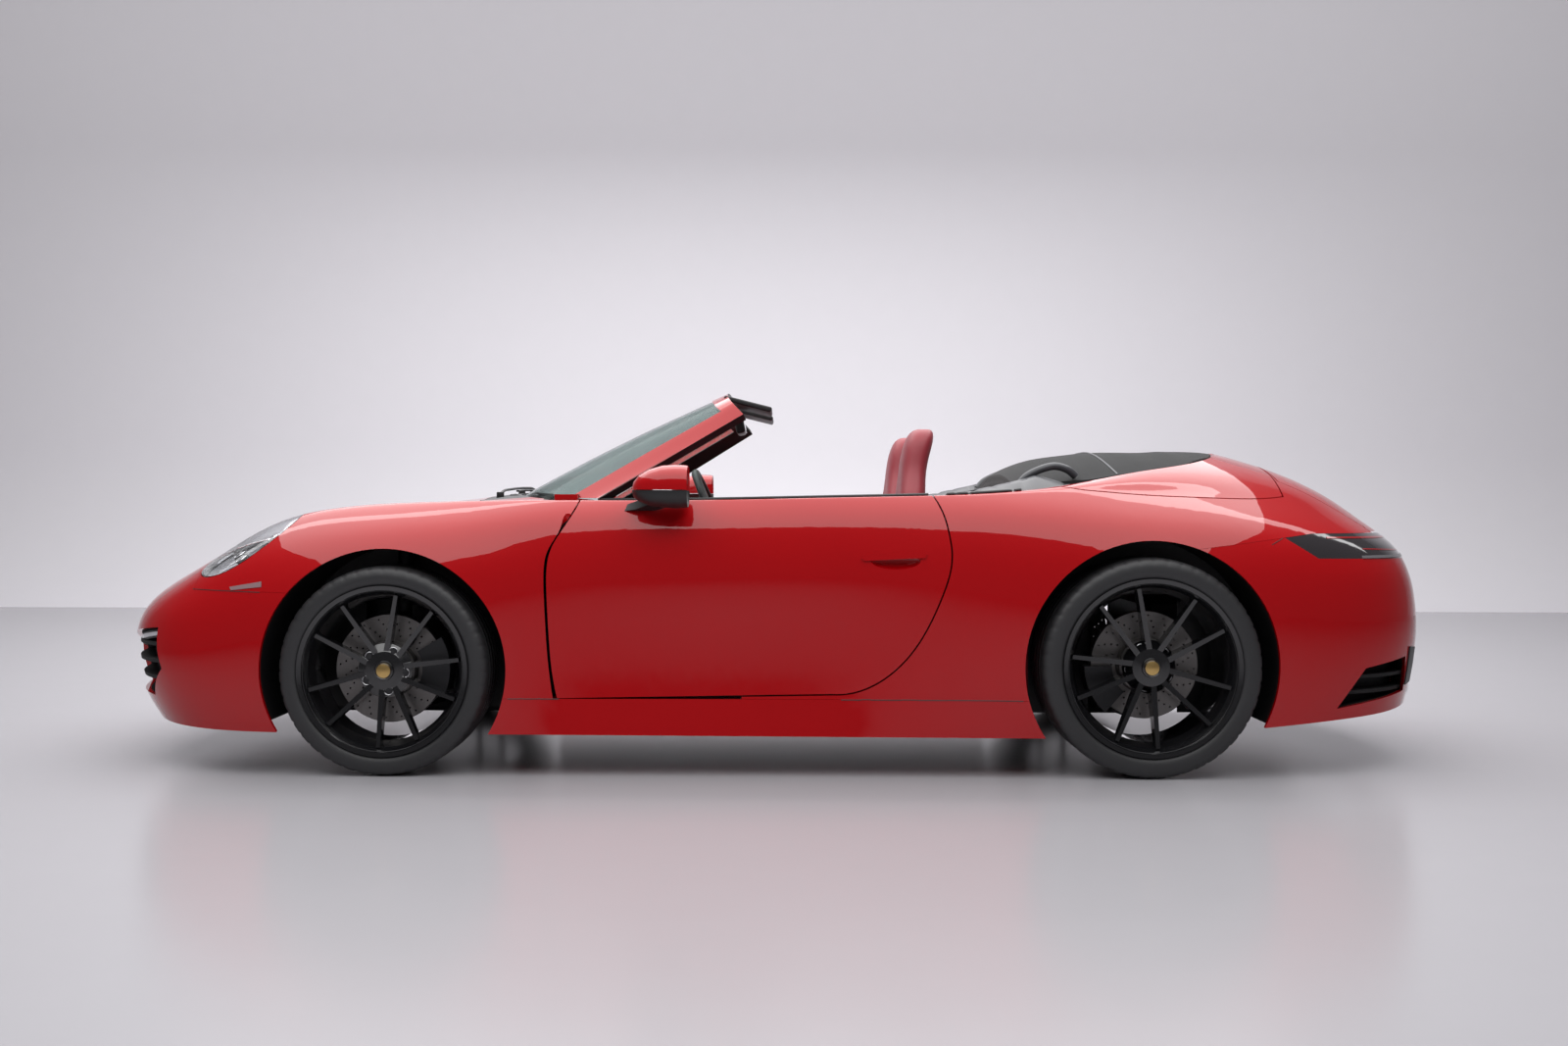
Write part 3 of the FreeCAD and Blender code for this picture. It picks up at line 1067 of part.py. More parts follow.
def crash_beams():
    """Front and rear: a cross beam on two rails, and a socket that reaches out to the skin."""
    keel_top = FLOOR_Z + FLOOR_THICK + FIT_GAP
    front_beam = box(front(-830), front(-790), -300, 300, 235, 345)
    for y in (-250, 250):
        front_beam = front_beam.fuse(box(front(-800), front(-360), y - 30, y + 30, keel_top, keel_top + 60))
        front_beam = front_beam.fuse(box(front(-830), front(-760), y - 30, y + 30, keel_top, 300))
    socket = rod((FRONT_TOW_X, TOW_Y, TOW_Z), (front(-800), TOW_Y, TOW_Z), TOW_THREAD_R + 9)
    thread = rod((FRONT_TOW_X - 1, TOW_Y, TOW_Z), (FRONT_TOW_X + TOW_THREAD_LONG, TOW_Y, TOW_Z), TOW_THREAD_R)
    hole = rod((front(-1100), TOW_Y, TOW_Z), (front(-850), TOW_Y, TOW_Z), TOW_THREAD_R + 14)
    node("front_bumper", largest(NODES["front_bumper"].cut(hole)))
    node("front_beam", front_beam.fuse(socket).cut(thread).removeSplitter())
    rear_beam = box(rear(925), rear(955), -360, 360, 395, 470)
    for y in (-270, 270):
        rear_beam = rear_beam.fuse(box(rear(690) + FIT_GAP, rear(930), y - 25, y + 25, 400, 465))
    socket = rod((rear(950), TOW_Y, TOW_REAR_Z), (REAR_TOW_X, TOW_Y, TOW_REAR_Z), TOW_THREAD_R + 9)
    thread = rod((REAR_TOW_X - TOW_THREAD_LONG, TOW_Y, TOW_REAR_Z), (REAR_TOW_X + 1, TOW_Y, TOW_REAR_Z), TOW_THREAD_R)
    hole = rod((rear(960), TOW_Y, TOW_REAR_Z), (rear(1200), TOW_Y, TOW_REAR_Z), TOW_THREAD_R + 14)
    node("rear_bumper", largest(NODES["rear_bumper"].cut(hole)))
    node("rear_beam", rear_beam.fuse(socket).cut(thread).removeSplitter())
    pads = [rod((x, side * y, JACK_PAD_LOW), (x, side * y, FLOOR_Z + 2), JACK_PAD_R)
            for x, y in JACK_PLACES for side in (-1, 1)]
    node("floor_pan", fused(NODES["floor_pan"], *pads))


# Lid hinges: goosenecks that swing round the edge of the panel next to the lid
HOOD_PIVOT = (front(324), 865.0)
HOOD_NECK_Y = 400.0
HOOD_NECK_R = 93.0
ENGINE_PIVOT = (rear(466), 1000.0)
ENGINE_NECK_Y = 150.0
ENGINE_NECK_R = 64.0
NECK_WIDE = 12.0
NECK_THICK = 10.0
NECK_PIN_R = 5.0


def gooseneck(pivot, y, radius, towards):
    """One lid arm: an eye on the pivot, a drop and an arc that rises to the lid on the side `towards`."""
    x, z = pivot
    y0, y1 = y - NECK_THICK / 2, y + NECK_THICK / 2
    outer = radius + NECK_WIDE
    ring = rod((x, y0, z), (x, y1, z), outer).cut(rod((x, y0 - 1, z), (x, y1 + 1, z), radius))
    quarter = box(min(x, x + towards * 200), max(x, x + towards * 200), y0 - 1, y1 + 1, z - 200, z + 60)
    drop = box(x - 7, x + 7, y0, y1, z - outer + 1, z)
    eye = rod((x, y0, z), (x, y1, z), 11)
    return fused(ring.common(quarter), drop, eye).cut(rod((x, y0 - 1, z), (x, y1 + 1, z), NECK_PIN_R + PIN_GAP))


def neck_fork(pivot, y, foot):
    """The fixed cheeks beside a gooseneck's eye, with the pin through them; foot is their outline."""
    x, z = pivot
    cheeks = []
    for side in (-1, 1):
        inner = y + side * (NECK_THICK / 2 + 1.5)
        outer = y + side * (NECK_THICK / 2 + 7.5)
        cheeks.append(side_prism(foot, min(inner, outer), max(inner, outer)))
    pin = rod((x, y - 15, z), (x, y + 15, z), NECK_PIN_R)
    return fused(cheeks[0], cheeks[1], pin)


def below_middle(u0, u1):
    """Everything below the middle of the skin's thickness, so that what it bounds bites into the panel."""
    return patch(MIDDLE, u0, u1, 0, 4.0).toShape().extrude(V(0, 0, -700))


def lid_hinges():
    hx, hz = HOOD_PIVOT
    neck = gooseneck(HOOD_PIVOT, -HOOD_NECK_Y, HOOD_NECK_R, -1).common(below_middle(at_right(9), at_left(9)))
    neck = largest(neck)
    node("hood", fused(NODES["hood"], neck, mirrored(neck)))
    foot = [(TOE_X - FIT_GAP, 800), (TOE_X - FIT_GAP, 858), (hx + 10, hz + 9), (hx - 10, hz + 9),
            (hx - 10, hz - 9), (hx + 10, hz - 12)]
    hood_fork = neck_fork(HOOD_PIVOT, -HOOD_NECK_Y, foot)
    ex, ez = ENGINE_PIVOT
    neck = largest(gooseneck(ENGINE_PIVOT, -ENGINE_NECK_Y, ENGINE_NECK_R, 1).common(
        below_middle(at_left(14), at_right(14))))
    node("engine_lid", fused(NODES["engine_lid"], neck, mirrored(neck)))
    foot = [(rear(350), ROOF_FLOOR - 20), (rear(384), ROOF_FLOOR - 20), (ex + 11, ez - 8), (ex + 11, ez + 9),
            (ex - 11, ez + 9), (rear(384), 926), (rear(379), ROOF_FLOOR - 1), (rear(350), ROOF_FLOOR - 1)]
    engine_fork = neck_fork(ENGINE_PIVOT, -ENGINE_NECK_Y, foot)
    node("hood_hinges", both_sides(hood_fork))
    node("roof_well", fused(NODES["roof_well"], engine_fork, mirrored(engine_fork)))


def engine_block():
    """One plain block for the flat engine, behind the rear axle."""
    x0, x1 = rear(90), rear(690)
    block = box(x0, x1, -300, 300, ENGINE_LOW, 560)
    node("engine_block", block.makeChamfer(40, block.Edges))


PIPE_R = 42.0
PIPE_Z = 250.0
PIPES_Y = (-330.0, -232.0, 232.0, 330.0)


def exhaust():
    """Two pairs of round tail pipes through the rear bumper, and the silencer that carries them."""
    pipes = []
    for y in PIPES_Y:
        pipes.append(rod((rear(860), y, PIPE_Z), (rear(1012), y, PIPE_Z), PIPE_R))
    silencer = rounded(box(SILENCER_X, rear(900), -420, 420, 205, 380), 30)
    bores = [rod((rear(905), y, PIPE_Z), (rear(1060), y, PIPE_Z), PIPE_R - 4) for y in PIPES_Y]
    node("exhaust", fused(silencer, *pipes).cut(bores))
    openings = []
    for y in PIPES_Y:
        openings.append(rod((rear(900), y, PIPE_Z), (rear(1200), y, PIPE_Z), PIPE_R + 6))
        openings.append(box(rear(900), rear(1200), y - PIPE_R - 6, y + PIPE_R + 6, 100, PIPE_Z))
    node("rear_bumper", NODES["rear_bumper"].cut(openings))


# Mirrors on the doors
MIRROR_CENTRE = V(front(905), -900, 925)


def mirrors():
    """Shell and foot in one piece, standing on the door's top."""
    c = MIRROR_CENTRE
    shell = Part.makeSphere(1).transformGeometry(FreeCAD.Matrix(112, 0, 0, c.x, 0, 90, 0, c.y, 0, 0, 70, c.z,
                                                                0, 0, 0, 1))
    shell = shell.cut(box(c.x + 66, c.x + 200, -1200, 0, 0, 1500))
    foot_wires = [Part.makePolygon([V(x0, y, z0), V(x1, y, z0 + 4), V(x1 - 14, y, z1), V(x0 + 14, y, z1),
                                    V(x0, y, z0)])
                  for x0, x1, y, z0, z1 in ((front(758), front(858), -822, 838, 868),
                                            (front(850), front(930), -868, 868, 902))]
    foot = Part.makeLoft(foot_wires, True, True)
    door_top = NODES["door_left"]
    pair("mirror", largest(shell.fuse(foot).removeSplitter().cut(door_top)))


def export_all():
    os.makedirs("parts", exist_ok=True)
    for name, shape in NODES.items():
        shape.exportStep(os.path.join("parts", name + ".step"))


front_panels()
rear_panels()
mouths()
engine_grille()
doors()
sills()
floor_pan()
wheel_housings()
luggage_tub()
windscreen()
wheels()
front_suspension()
rear_suspension()
dashboard()
steering_wheel()
pair("seat", seat(-SEAT_Y))
rear_seats()
console()
folded_top()
roof_well()
engine_block()
lid_hinges()
exhaust()
crash_beams()
mirrors()
export_all()
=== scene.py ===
"""Dresses the convertible sports car: finishes on its solids, and the trim, lamps, wheels and cabin
pieces that ride with them. Metres, +Z up, the nose points along -X and the car's left side is -Y.
Pieces that come in pairs are made for the left side and mirrored."""
import math

import bpy
import bmesh
from mathutils import Matrix, Vector
from mathutils.bvhtree import BVHTree


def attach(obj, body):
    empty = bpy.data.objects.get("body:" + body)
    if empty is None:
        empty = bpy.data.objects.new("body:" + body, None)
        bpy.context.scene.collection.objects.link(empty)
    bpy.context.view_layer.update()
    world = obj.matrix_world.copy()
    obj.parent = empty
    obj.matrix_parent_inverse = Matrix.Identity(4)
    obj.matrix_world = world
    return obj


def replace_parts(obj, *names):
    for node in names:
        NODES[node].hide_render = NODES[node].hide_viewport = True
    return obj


bl_info = {
    "name": "Convertible Car Dresser",
    "version": (1, 0, 0),
    "blender": (4, 5, 0),
    "location": "View3D > Sidebar > Car",
    "description": "Adds finishes, lamps, wheels, trim and cabin pieces to the convertible",
    "category": "Object",
}

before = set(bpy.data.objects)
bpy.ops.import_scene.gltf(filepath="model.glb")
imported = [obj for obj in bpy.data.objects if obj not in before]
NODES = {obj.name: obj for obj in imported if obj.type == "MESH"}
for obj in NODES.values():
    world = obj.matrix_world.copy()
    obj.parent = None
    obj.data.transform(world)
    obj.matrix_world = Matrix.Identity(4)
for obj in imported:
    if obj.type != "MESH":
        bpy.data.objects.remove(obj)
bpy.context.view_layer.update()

# Places on the car
FRONT_AXLE_X = -1.2595
REAR_AXLE_X = 1.1905
WHEELS = {
    "front": dict(x=FRONT_AXLE_X, y=0.785, z=0.334, radius=0.334, rim=0.272, half=0.1225, turn=65.5),
    "rear": dict(x=REAR_AXLE_X, y=0.768, z=0.352, radius=0.352, rim=0.285, half=0.150, turn=43.0),
}
SIDES = (("left", -1), ("right", 1))
CHASSIS = ("chassis", "chassis")
DOORS = ("door_left", "door_right")
SEAT_Y = 0.372
FLOOR_TOP = 0.156

# Where rays start that look for a surface
ABOVE = 1.6
BESIDE = -1.3
AHEAD = -2.6
OUTERMOST_EDGE = -0.86
LOWEST_BELT = 0.80
SEARCH_STEP = 0.002


def front(dx):
    """A place along the car in metres, from the front axle."""
    return FRONT_AXLE_X + dx


def rear(dx):
    """A place along the car in metres, from the rear axle."""
    return REAR_AXLE_X + dx


def pairs(*names):
    """The left and right node of each name."""
    return [name + "_" + side for name in names for side, _ in SIDES]


# Settings that a user would change
class CarFinish(bpy.types.PropertyGroup):
    paint: bpy.props.FloatVectorProperty(
        name="Body paint", description="Colour of the painted panels", subtype="COLOR",
        size=3, min=0, max=1, default=(0.42, 0.0005, 0.0030))
    leather: bpy.props.FloatVectorProperty(
        name="Leather", description="Colour of the seats", subtype="COLOR",
        size=3, min=0, max=1, default=(0.30, 0.030, 0.042))
    cloth: bpy.props.FloatVectorProperty(
        name="Roof cloth", description="Colour of the folded roof", subtype="COLOR",
        size=3, min=0, max=1, default=(0.0085, 0.0085, 0.0095))
    coat: bpy.props.FloatProperty(
        name="Clear coat", description="Strength of the paint's clear coat", subtype="FACTOR",
        min=0, max=1, default=1.0)


class WheelSizes(bpy.types.PropertyGroup):
    groove_depth: bpy.props.FloatProperty(
        name="Groove depth", description="Depth of the tread grooves", unit="LENGTH", default=0.0065)
    groove_width: bpy.props.FloatProperty(
        name="Groove width", description="Width of the tread grooves", unit="LENGTH", default=0.0090)
    bolt_circle: bpy.props.FloatProperty(
        name="Bolt circle radius", description="Distance of the wheel bolts from the axle",
        unit="LENGTH", default=0.065)
    hole_radius: bpy.props.FloatProperty(
        name="Disc hole radius", description="Radius of the holes drilled in the brake discs",
        unit="LENGTH", default=0.0032)


class StudioSettings(bpy.types.PropertyGroup):
    floor: bpy.props.FloatVectorProperty(
        name="Floor", description="Colour of the studio floor", subtype="COLOR",
        size=3, min=0, max=1, default=(0.425, 0.415, 0.44))
    backdrop: bpy.props.FloatVectorProperty(
        name="Backdrop", description="Colour of the studio wall", subtype="COLOR",
        size=3, min=0, max=1, default=(0.84, 0.82, 0.86))
    lens: bpy.props.FloatProperty(
        name="Lens", description="Focal length of the camera", unit="CAMERA", default=37.69)


# Node groups shared by the finishes
def feed(tree, value, socket):
    """Sets a socket to a number, or links it."""
    if isinstance(value, (int, float)):
        socket.default_value = value
    else:
        tree.links.new(value, socket)


def math_node(tree, kind, a, b):
    step = tree.nodes.new("ShaderNodeMath")
    step.operation = kind
    feed(tree, a, step.inputs[0])
    feed(tree, b, step.inputs[1])
    return step.outputs[0]


def noise_to(tree, place, scale, result, detail=2.0):
    """A noise that goes straight to one of the group's outputs."""
    noise = tree.nodes.new("ShaderNodeTexNoise")
    noise.inputs["Detail"].default_value = detail
    tree.links.new(place, noise.inputs["Vector"])
    feed(tree, scale, noise.inputs["Scale"])
    tree.links.new(noise.outputs["Fac"], result)


def node_group(name, inputs):
    """An empty group with its inputs, a Height and a Tone output, and the object's own coordinates."""
    group = bpy.data.node_groups.new(name, "ShaderNodeTree")
    for label, value in inputs:
        socket = group.interface.new_socket(label, in_out="INPUT", socket_type="NodeSocketFloat")
        socket.default_value = value
    for label in ("Height", "Tone"):
        group.interface.new_socket(label, in_out="OUTPUT", socket_type="NodeSocketFloat")
    start = group.nodes.new("NodeGroupInput")
    end = group.nodes.new("NodeGroupOutput")
    place = group.nodes.new("ShaderNodeTexCoord").outputs["Object"]
    return group, start.outputs, end.inputs, place


def grain_group():
    """Fine noise for plastics, castings and paint: a height and a slow change of tone."""
    group, given, result, place = node_group("Fine grain", [("Scale", 400.0), ("Tone scale", 6.0)])
    noise_to(group, place, given["Scale"], result["Height"], 4.0)
    noise_to(group, place, given["Tone scale"], result["Tone"], 4.0)
    return group


def hide_group():
    """Leather: pebbles with creases between them."""
    group, given, result, place = node_group("Leather hide", [("Scale", 260.0)])
    cells = group.nodes.new("ShaderNodeTexVoronoi")
    cells.feature = "DISTANCE_TO_EDGE"
    group.links.new(place, cells.inputs["Vector"])
    group.links.new(given["Scale"], cells.inputs["Scale"])
    group.links.new(math_node(group, "MINIMUM", cells.outputs["Distance"], 0.18), result["Height"])
    noise_to(group, place, 9.0, result["Tone"])
    return group


def weave_group():
    """Woven cloth: crossed threads as a height, with a soft change of tone."""
    group, given, result, place = node_group("Woven cloth", [("Scale", 1500.0)])
    split = group.nodes.new("ShaderNodeSeparateXYZ")
    group.links.new(place, split.inputs[0])
    waves = []
    for axis in ("X", "Y"):
        scaled = math_node(group, "MULTIPLY", split.outputs[axis], given["Scale"])
        waves.append(math_node(group, "SINE", scaled, 0.0))
    group.links.new(math_node(group, "MULTIPLY", *waves), result["Height"])
    noise_to(group, place, 14.0, result["Tone"])
    return group


GROUP_BUILDERS = {"grain": grain_group, "hide": hide_group, "weave": weave_group}
GROUPS = {}
MATERIALS = {}

# Each finish: its name, colour (or the setting that holds it), roughness, and what else it has
FINISHES = {
    "paint": ("Red paint", "paint", 0.42, dict(
        scale=900.0, bump=0.02, tone=0.02, Coat_Weight="coat", Coat_Roughness=0.02,
        Specular_IOR_Level=0.05)),
    "gloss_black": ("Gloss black", (0.006, 0.006, 0.007), 0.18, dict(
        scale=700.0, bump=0.03, Coat_Weight=1.0, Coat_Roughness=0.04)),
    "satin_black": ("Satin black plastic", (0.012, 0.012, 0.013), 0.42, dict(scale=600.0, bump=0.25)),
    "dull_black": ("Dull black liner", (0.010, 0.010, 0.011), 0.85, dict(
        scale=220.0, bump=0.6, depth=0.0006)),
    "tyre": ("Tyre rubber", (0.026, 0.026, 0.028), 0.5, dict(scale=900.0, bump=0.3, tone=0.15)),
    # Also the finish of the dark lines of painted shade laid along the panel gaps
    "seal": ("Rubber seal", (0.010, 0.010, 0.011), 0.5, dict(scale=800.0, bump=0.1)),
    "cast_metal": ("Cast metal", (0.045, 0.045, 0.048), 0.5, dict(
        metal=0.8, scale=260.0, bump=0.5, depth=0.0004)),
    "turned_steel": ("Turned steel", (0.62, 0.62, 0.64), 0.32, dict(metal=1.0, scale=120.0, bump=0.08)),
    "brake_iron": ("Brake disc iron", (0.20, 0.19, 0.185), 0.38, dict(
        metal=1.0, scale=160.0, bump=0.12, tone=0.15)),
    "bright_steel": ("Polished steel", (0.72, 0.72, 0.73), 0.12, dict(metal=1.0, scale=300.0, bump=0.02)),
    "brass": ("Plain brass", (0.62, 0.42, 0.16), 0.32, dict(metal=1.0, scale=500.0, bump=0.05)),
    "leather": ("Red leather", "leather", 0.46, dict(
        kind="hide", scale=420.0, bump=0.5, depth=0.0005, tone=0.10)),
    "black_leather": ("Black leather", (0.014, 0.013, 0.014), 0.5, dict(
        kind="hide", scale=420.0, bump=0.5, depth=0.0005)),
    "roof_vinyl": ("Roof vinyl", (0.060, 0.061, 0.068), 0.36, dict(kind="hide", scale=700.0, bump=0.15)),
    "roof_cloth": ("Roof cloth", "cloth", 0.9, dict(
        kind="weave", scale=2400.0, bump=0.5, depth=0.0004, tone=0.12, Sheen_Weight=0.12,
        Sheen_Roughness=0.5)),
    "piping": ("Roof piping", (0.17, 0.17, 0.18), 0.6, dict(kind="weave", scale=3000.0, bump=0.3)),
    "thread": ("Stitching", (0.34, 0.05, 0.06), 0.7, dict(kind="weave", scale=3000.0, bump=0.3)),
    "carpet": ("Carpet", (0.014, 0.013, 0.014), 0.98, dict(
        scale=1300.0, bump=1.0, depth=0.0012, tone=0.3, Sheen_Weight=0.2)),
    "pane": ("Tinted glass", (0.55, 0.62, 0.60), 0.0, dict(
        bump=0, tone=0.0, Transmission_Weight=1.0, IOR=1.02)),
    "clear_lens": ("Clear lens", (0.96, 0.97, 0.98), 0.0, dict(
        bump=0, tone=0.0, Transmission_Weight=1.0, IOR=1.35)),
    "smoked_lens": ("Smoked lens", (0.028, 0.024, 0.027), 0.08, dict(
        scale=500.0, bump=0.0, Coat_Weight=1.0, Coat_Roughness=0.02)),
    "red_lens": ("Red lens", (0.35, 0.004, 0.006), 0.12, dict(
        scale=500.0, bump=0.0, Coat_Weight=1.0, Coat_Roughness=0.02)),
    "white_lens": ("White lens", (0.80, 0.82, 0.85), 0.15, dict(scale=500.0, bump=0.0, Coat_Weight=1.0)),
    "marker_lens": ("Side marker lens", (0.30, 0.19, 0.20), 0.15, dict(
        scale=500.0, bump=0.0, Coat_Weight=1.0)),
    "reflector": ("Lamp reflector", (0.27, 0.27, 0.285), 0.42, dict(metal=0.5, scale=500.0, bump=0.03)),
    "lamp_rim": ("Lamp rim", (0.16, 0.155, 0.165), 0.25, dict(scale=500.0, bump=0.03, Coat_Weight=0.6)),
    "mirror_glass": ("Mirror glass", (0.85, 0.86, 0.88), 0.02, dict(metal=1.0, bump=0, tone=0.0)),
}

# Sockets of a Mix node by number, because their names repeat
MIX_FACTOR, MIX_FLOAT_A, MIX_FLOAT_B, MIX_COLOUR_A, MIX_COLOUR_B = 0, 2, 3, 6, 7
MIXED_FLOAT, MIXED_COLOUR = 0, 2


def setting(value):
    """A value, or the user's setting that it names."""
    return getattr(bpy.context.scene.car_finish, value) if isinstance(value, str) else value


def finish(name, colour, rough, kind="grain", metal=0.0, scale=400.0, bump=0.1, depth=0.0002, tone=0.06,
           **sockets):
    """A Principled finish whose colour and normal vary through one of the shared groups."""
    if kind not in GROUPS:
        GROUPS[kind] = GROUP_BUILDERS[kind]()
    made = bpy.data.materials.new(name)
    made.use_nodes = True
    tree = made.node_tree
    shader = tree.nodes["Principled BSDF"]
    shader.inputs["Roughness"].default_value = rough
    shader.inputs["Metallic"].default_value = metal
    for label, value in sockets.items():
        shader.inputs[label.replace("_", " ")].default_value = setting(value)
    texture = tree.nodes.new("ShaderNodeGroup")
    texture.node_tree = GROUPS[kind]
    texture.inputs["Scale"].default_value = scale
    mix = tree.nodes.new("ShaderNodeMix")
    mix.data_type = "RGBA"
    mix.inputs[MIX_COLOUR_A].default_value = (*(c * (1 - tone) for c in colour), 1)
    mix.inputs[MIX_COLOUR_B].default_value = (*(min(1.0, c * (1 + tone)) for c in colour), 1)
    tree.links.new(texture.outputs["Tone"], mix.inputs[MIX_FACTOR])
    tree.links.new(mix.outputs[MIXED_COLOUR], shader.inputs["Base Color"])
    if bump:
        relief = tree.nodes.new("ShaderNodeBump")
        relief.inputs["Strength"].default_value = bump
        relief.inputs["Distance"].default_value = depth
        tree.links.new(texture.outputs["Height"], relief.inputs["Height"])
        tree.links.new(relief.outputs["Normal"], shader.inputs["Normal"])
    made.diffuse_color = (*colour, 1)
    return made


def dress(mesh, look):
    """Gives a mesh one of the finishes, which is made the first time it is asked for."""
    if look not in MATERIALS:
        name, colour, rough, more = FINISHES[look]
        MATERIALS[look] = finish(name, setting(colour), rough, **more)
    mesh.materials.clear()
    mesh.materials.append(MATERIALS[look])


# Making pieces
def show(name, mesh, look, body="chassis", angle=32.0):
    """A new object with one finish that rides on a body, smooth but for edges sharper than an angle."""
    mesh.name = name
    piece = bpy.data.objects.new(name, mesh)
    bpy.context.scene.collection.objects.link(piece)
    dress(mesh, look)
    if angle:
        for face in mesh.polygons:
            face.use_smooth = True
        mesh.set_sharp_from_angle(angle=math.radians(angle))
    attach(piece, body)
    return piece


def mirrored_mesh(mesh):
    twin = mesh.copy()
    twin.transform(Matrix.Diagonal((1, -1, 1, 1)))
    twin.flip_normals()
    return twin


def both(name, mesh, look, bodies=CHASSIS, angle=32.0):
    """A piece on each side: the left one as made and its mirror image."""
    twin = mirrored_mesh(mesh)
    return (show(name + "_left", mesh, look, bodies[0], angle),
            show(name + "_right", twin, look, bodies[1], angle))


def mesh_from(shape):
    mesh = bpy.data.meshes.new("shape")
    shape.to_mesh(mesh)
    shape.free()
    return mesh


def joined(meshes):
    """Several meshes as one."""
    bundle = bmesh.new()
    for part in meshes:
        bundle.from_mesh(part)
        bpy.data.meshes.remove(part)
    return mesh_from(bundle)


def circle(count, closed=False):
    """Cosine and sine at even steps round a circle; a closed one ends where it starts."""
    turns = [2 * math.pi * i / count for i in range(count + closed)]
    return [(math.cos(a), math.sin(a)) for a in turns]


def squared(value, power):
    """Draws a cosine or sine out towards a square's side."""
    return math.copysign(abs(value) ** power, value)


def loft(rows, closed_rows=False, closed_loop=False, caps=False):
    """A smooth mesh through rows of points, each row as long as the others."""
    count = len(rows[0])
    faces = []
    for i in range(len(rows) if closed_loop else len(rows) - 1):
        a, b = i * count, ((i + 1) % len(rows)) * count
        for j in range(count if closed_rows else count - 1):
            k = (j + 1) % count
            faces.append((a + j, a + k, b + k, b + j))
    if caps:
        last = (len(rows) - 1) * count
        faces.append(tuple(range(count))[::-1])
        faces.append(tuple(range(last, last + count)))
    mesh = bpy.data.meshes.new("shape")
    mesh.from_pydata([tuple(p) for row in rows for p in row], [], faces)
    shape = bmesh.new()
    shape.from_mesh(mesh)
    bmesh.ops.remove_doubles(shape, verts=shape.verts, dist=1e-6)
    bmesh.ops.recalc_face_normals(shape, faces=shape.faces)
    for face in shape.faces:
        face.smooth = True
    shape.to_mesh(mesh)
    shape.free()
    return mesh


def lathe(profile, centre=(0, 0, 0), segments=96):
    """A profile of (distance out along -Y, radius) turned round the axle through centre."""
    x, y, z = centre
    return loft([[(x + r * c, y - out, z + r * s) for out, r in profile] for c, s in circle(segments)],
                closed_rows=True, closed_loop=True)


def block(low, high, bevel=0.0, steps=2):
    """A box with rounded edges."""
    solid = bmesh.new()
    bmesh.ops.create_cube(solid, size=1.0)
    bmesh.ops.scale(solid, vec=[h - l for l, h in zip(low, high)], verts=solid.verts)
    bmesh.ops.translate(solid, vec=[(h + l) / 2 for l, h in zip(low, high)], verts=solid.verts)
    if bevel:
        bmesh.ops.bevel(solid, geom=list(solid.edges), offset=bevel, segments=steps, profile=0.6,
                        affect="EDGES")
    return mesh_from(solid)


def disc(centre, axis, radius, height, segments=32, bevel=0.0, top=1.0):
    """A round peg standing on centre along axis."""
    solid = bmesh.new()
    bmesh.ops.create_cone(solid, cap_ends=True, segments=segments, radius1=radius, radius2=radius * top,
                          depth=height)
    if bevel:
        rim = [e for e in solid.edges if all(v.co.z > 0 for v in e.verts)]
        bmesh.ops.bevel(solid, geom=rim, offset=bevel, segments=2, profile=0.6, affect="EDGES")
    turn = Vector(axis).to_track_quat("Z", "Y").to_matrix().to_4x4()
    solid.transform(Matrix.Translation(Vector(centre) + Vector(axis).normalized() * height / 2) @ turn)
    return mesh_from(solid)


def smooth_path(points, count):
    """Points spread along a smooth curve through the given ones."""
    points = [Vector(p) for p in points]
    ends = [points[0] * 2 - points[1]] + points + [points[-1] * 2 - points[-2]]
    result = []
    for i in range(count):
        t = i / (count - 1) * (len(points) - 1)
        k = min(int(t), len(points) - 2)
        u = t - k
        a, b, c, d = ends[k:k + 4]
        result.append(0.5 * ((2 * b) + (c - a) * u + (2 * a - 5 * b + 4 * c - d) * u * u
                             + (3 * b - a - 3 * c + d) * u ** 3))
    return result


def tube(points, radius, count=0, sides=10, flat=1.0):
    """A round or flattened cord through points."""
    path = smooth_path(points, count) if count else [Vector(p) for p in points]
    rows = []
    for i, p in enumerate(path):
        along = (path[min(i + 1, len(path) - 1)] - path[max(i - 1, 0)]).normalized()
        side = along.cross(Vector((0, 0, 1)))
        side = side.normalized() if side.length > 1e-4 else Vector((0, 1, 0))
        over = side.cross(along).normalized()
        rows.append([p + side * radius * c + over * radius * flat * s for c, s in circle(sides)])
    return loft(rows, closed_rows=True, caps=True)


def hoop(centre, u, v, radius, thick, count, sides=8):
    """A thin ring in the plane of the directions u and v."""
    points = [centre + u * (radius * c) + v * (radius * s) for c, s in circle(count, True)]
    return tube(points, thick, 0, sides)


def pad(name, rows, look):
    """A closed padded form through rounded cross sections."""
    piece = show(name, loft(rows, closed_rows=True, caps=True), look, angle=None)
    rounding = piece.modifiers.new("Rounding", "SUBSURF")
    rounding.levels = rounding.render_levels = 1
    return piece


# Finding the solids' surfaces
SKINS = {}


def skin_of(nodes):
    """A search tree over the outside of some CAD nodes."""
    key = tuple(nodes)
    if key not in SKINS:
        points, faces = [], []
        for node in nodes:
            mesh = NODES[node].data
            start = len(points)
            points += [v.co.copy() for v in mesh.vertices]
            faces += [tuple(start + i for i in p.vertices) for p in mesh.polygons]
        SKINS[key] = BVHTree.FromPolygons(points, faces)
    return SKINS[key]


def touch(nodes, start, direction):
    """Where a ray first meets the nodes, and the outward normal there."""
    place, normal, _, _ = skin_of(nodes).ray_cast(Vector(start), Vector(direction).normalized())
    if place is None:
        return None, None
    return place, -normal if normal.dot(Vector(direction)) > 0 else normal


def from_above(nodes, x, y):
    return touch(nodes, (x, y, ABOVE), (0, 0, -1))


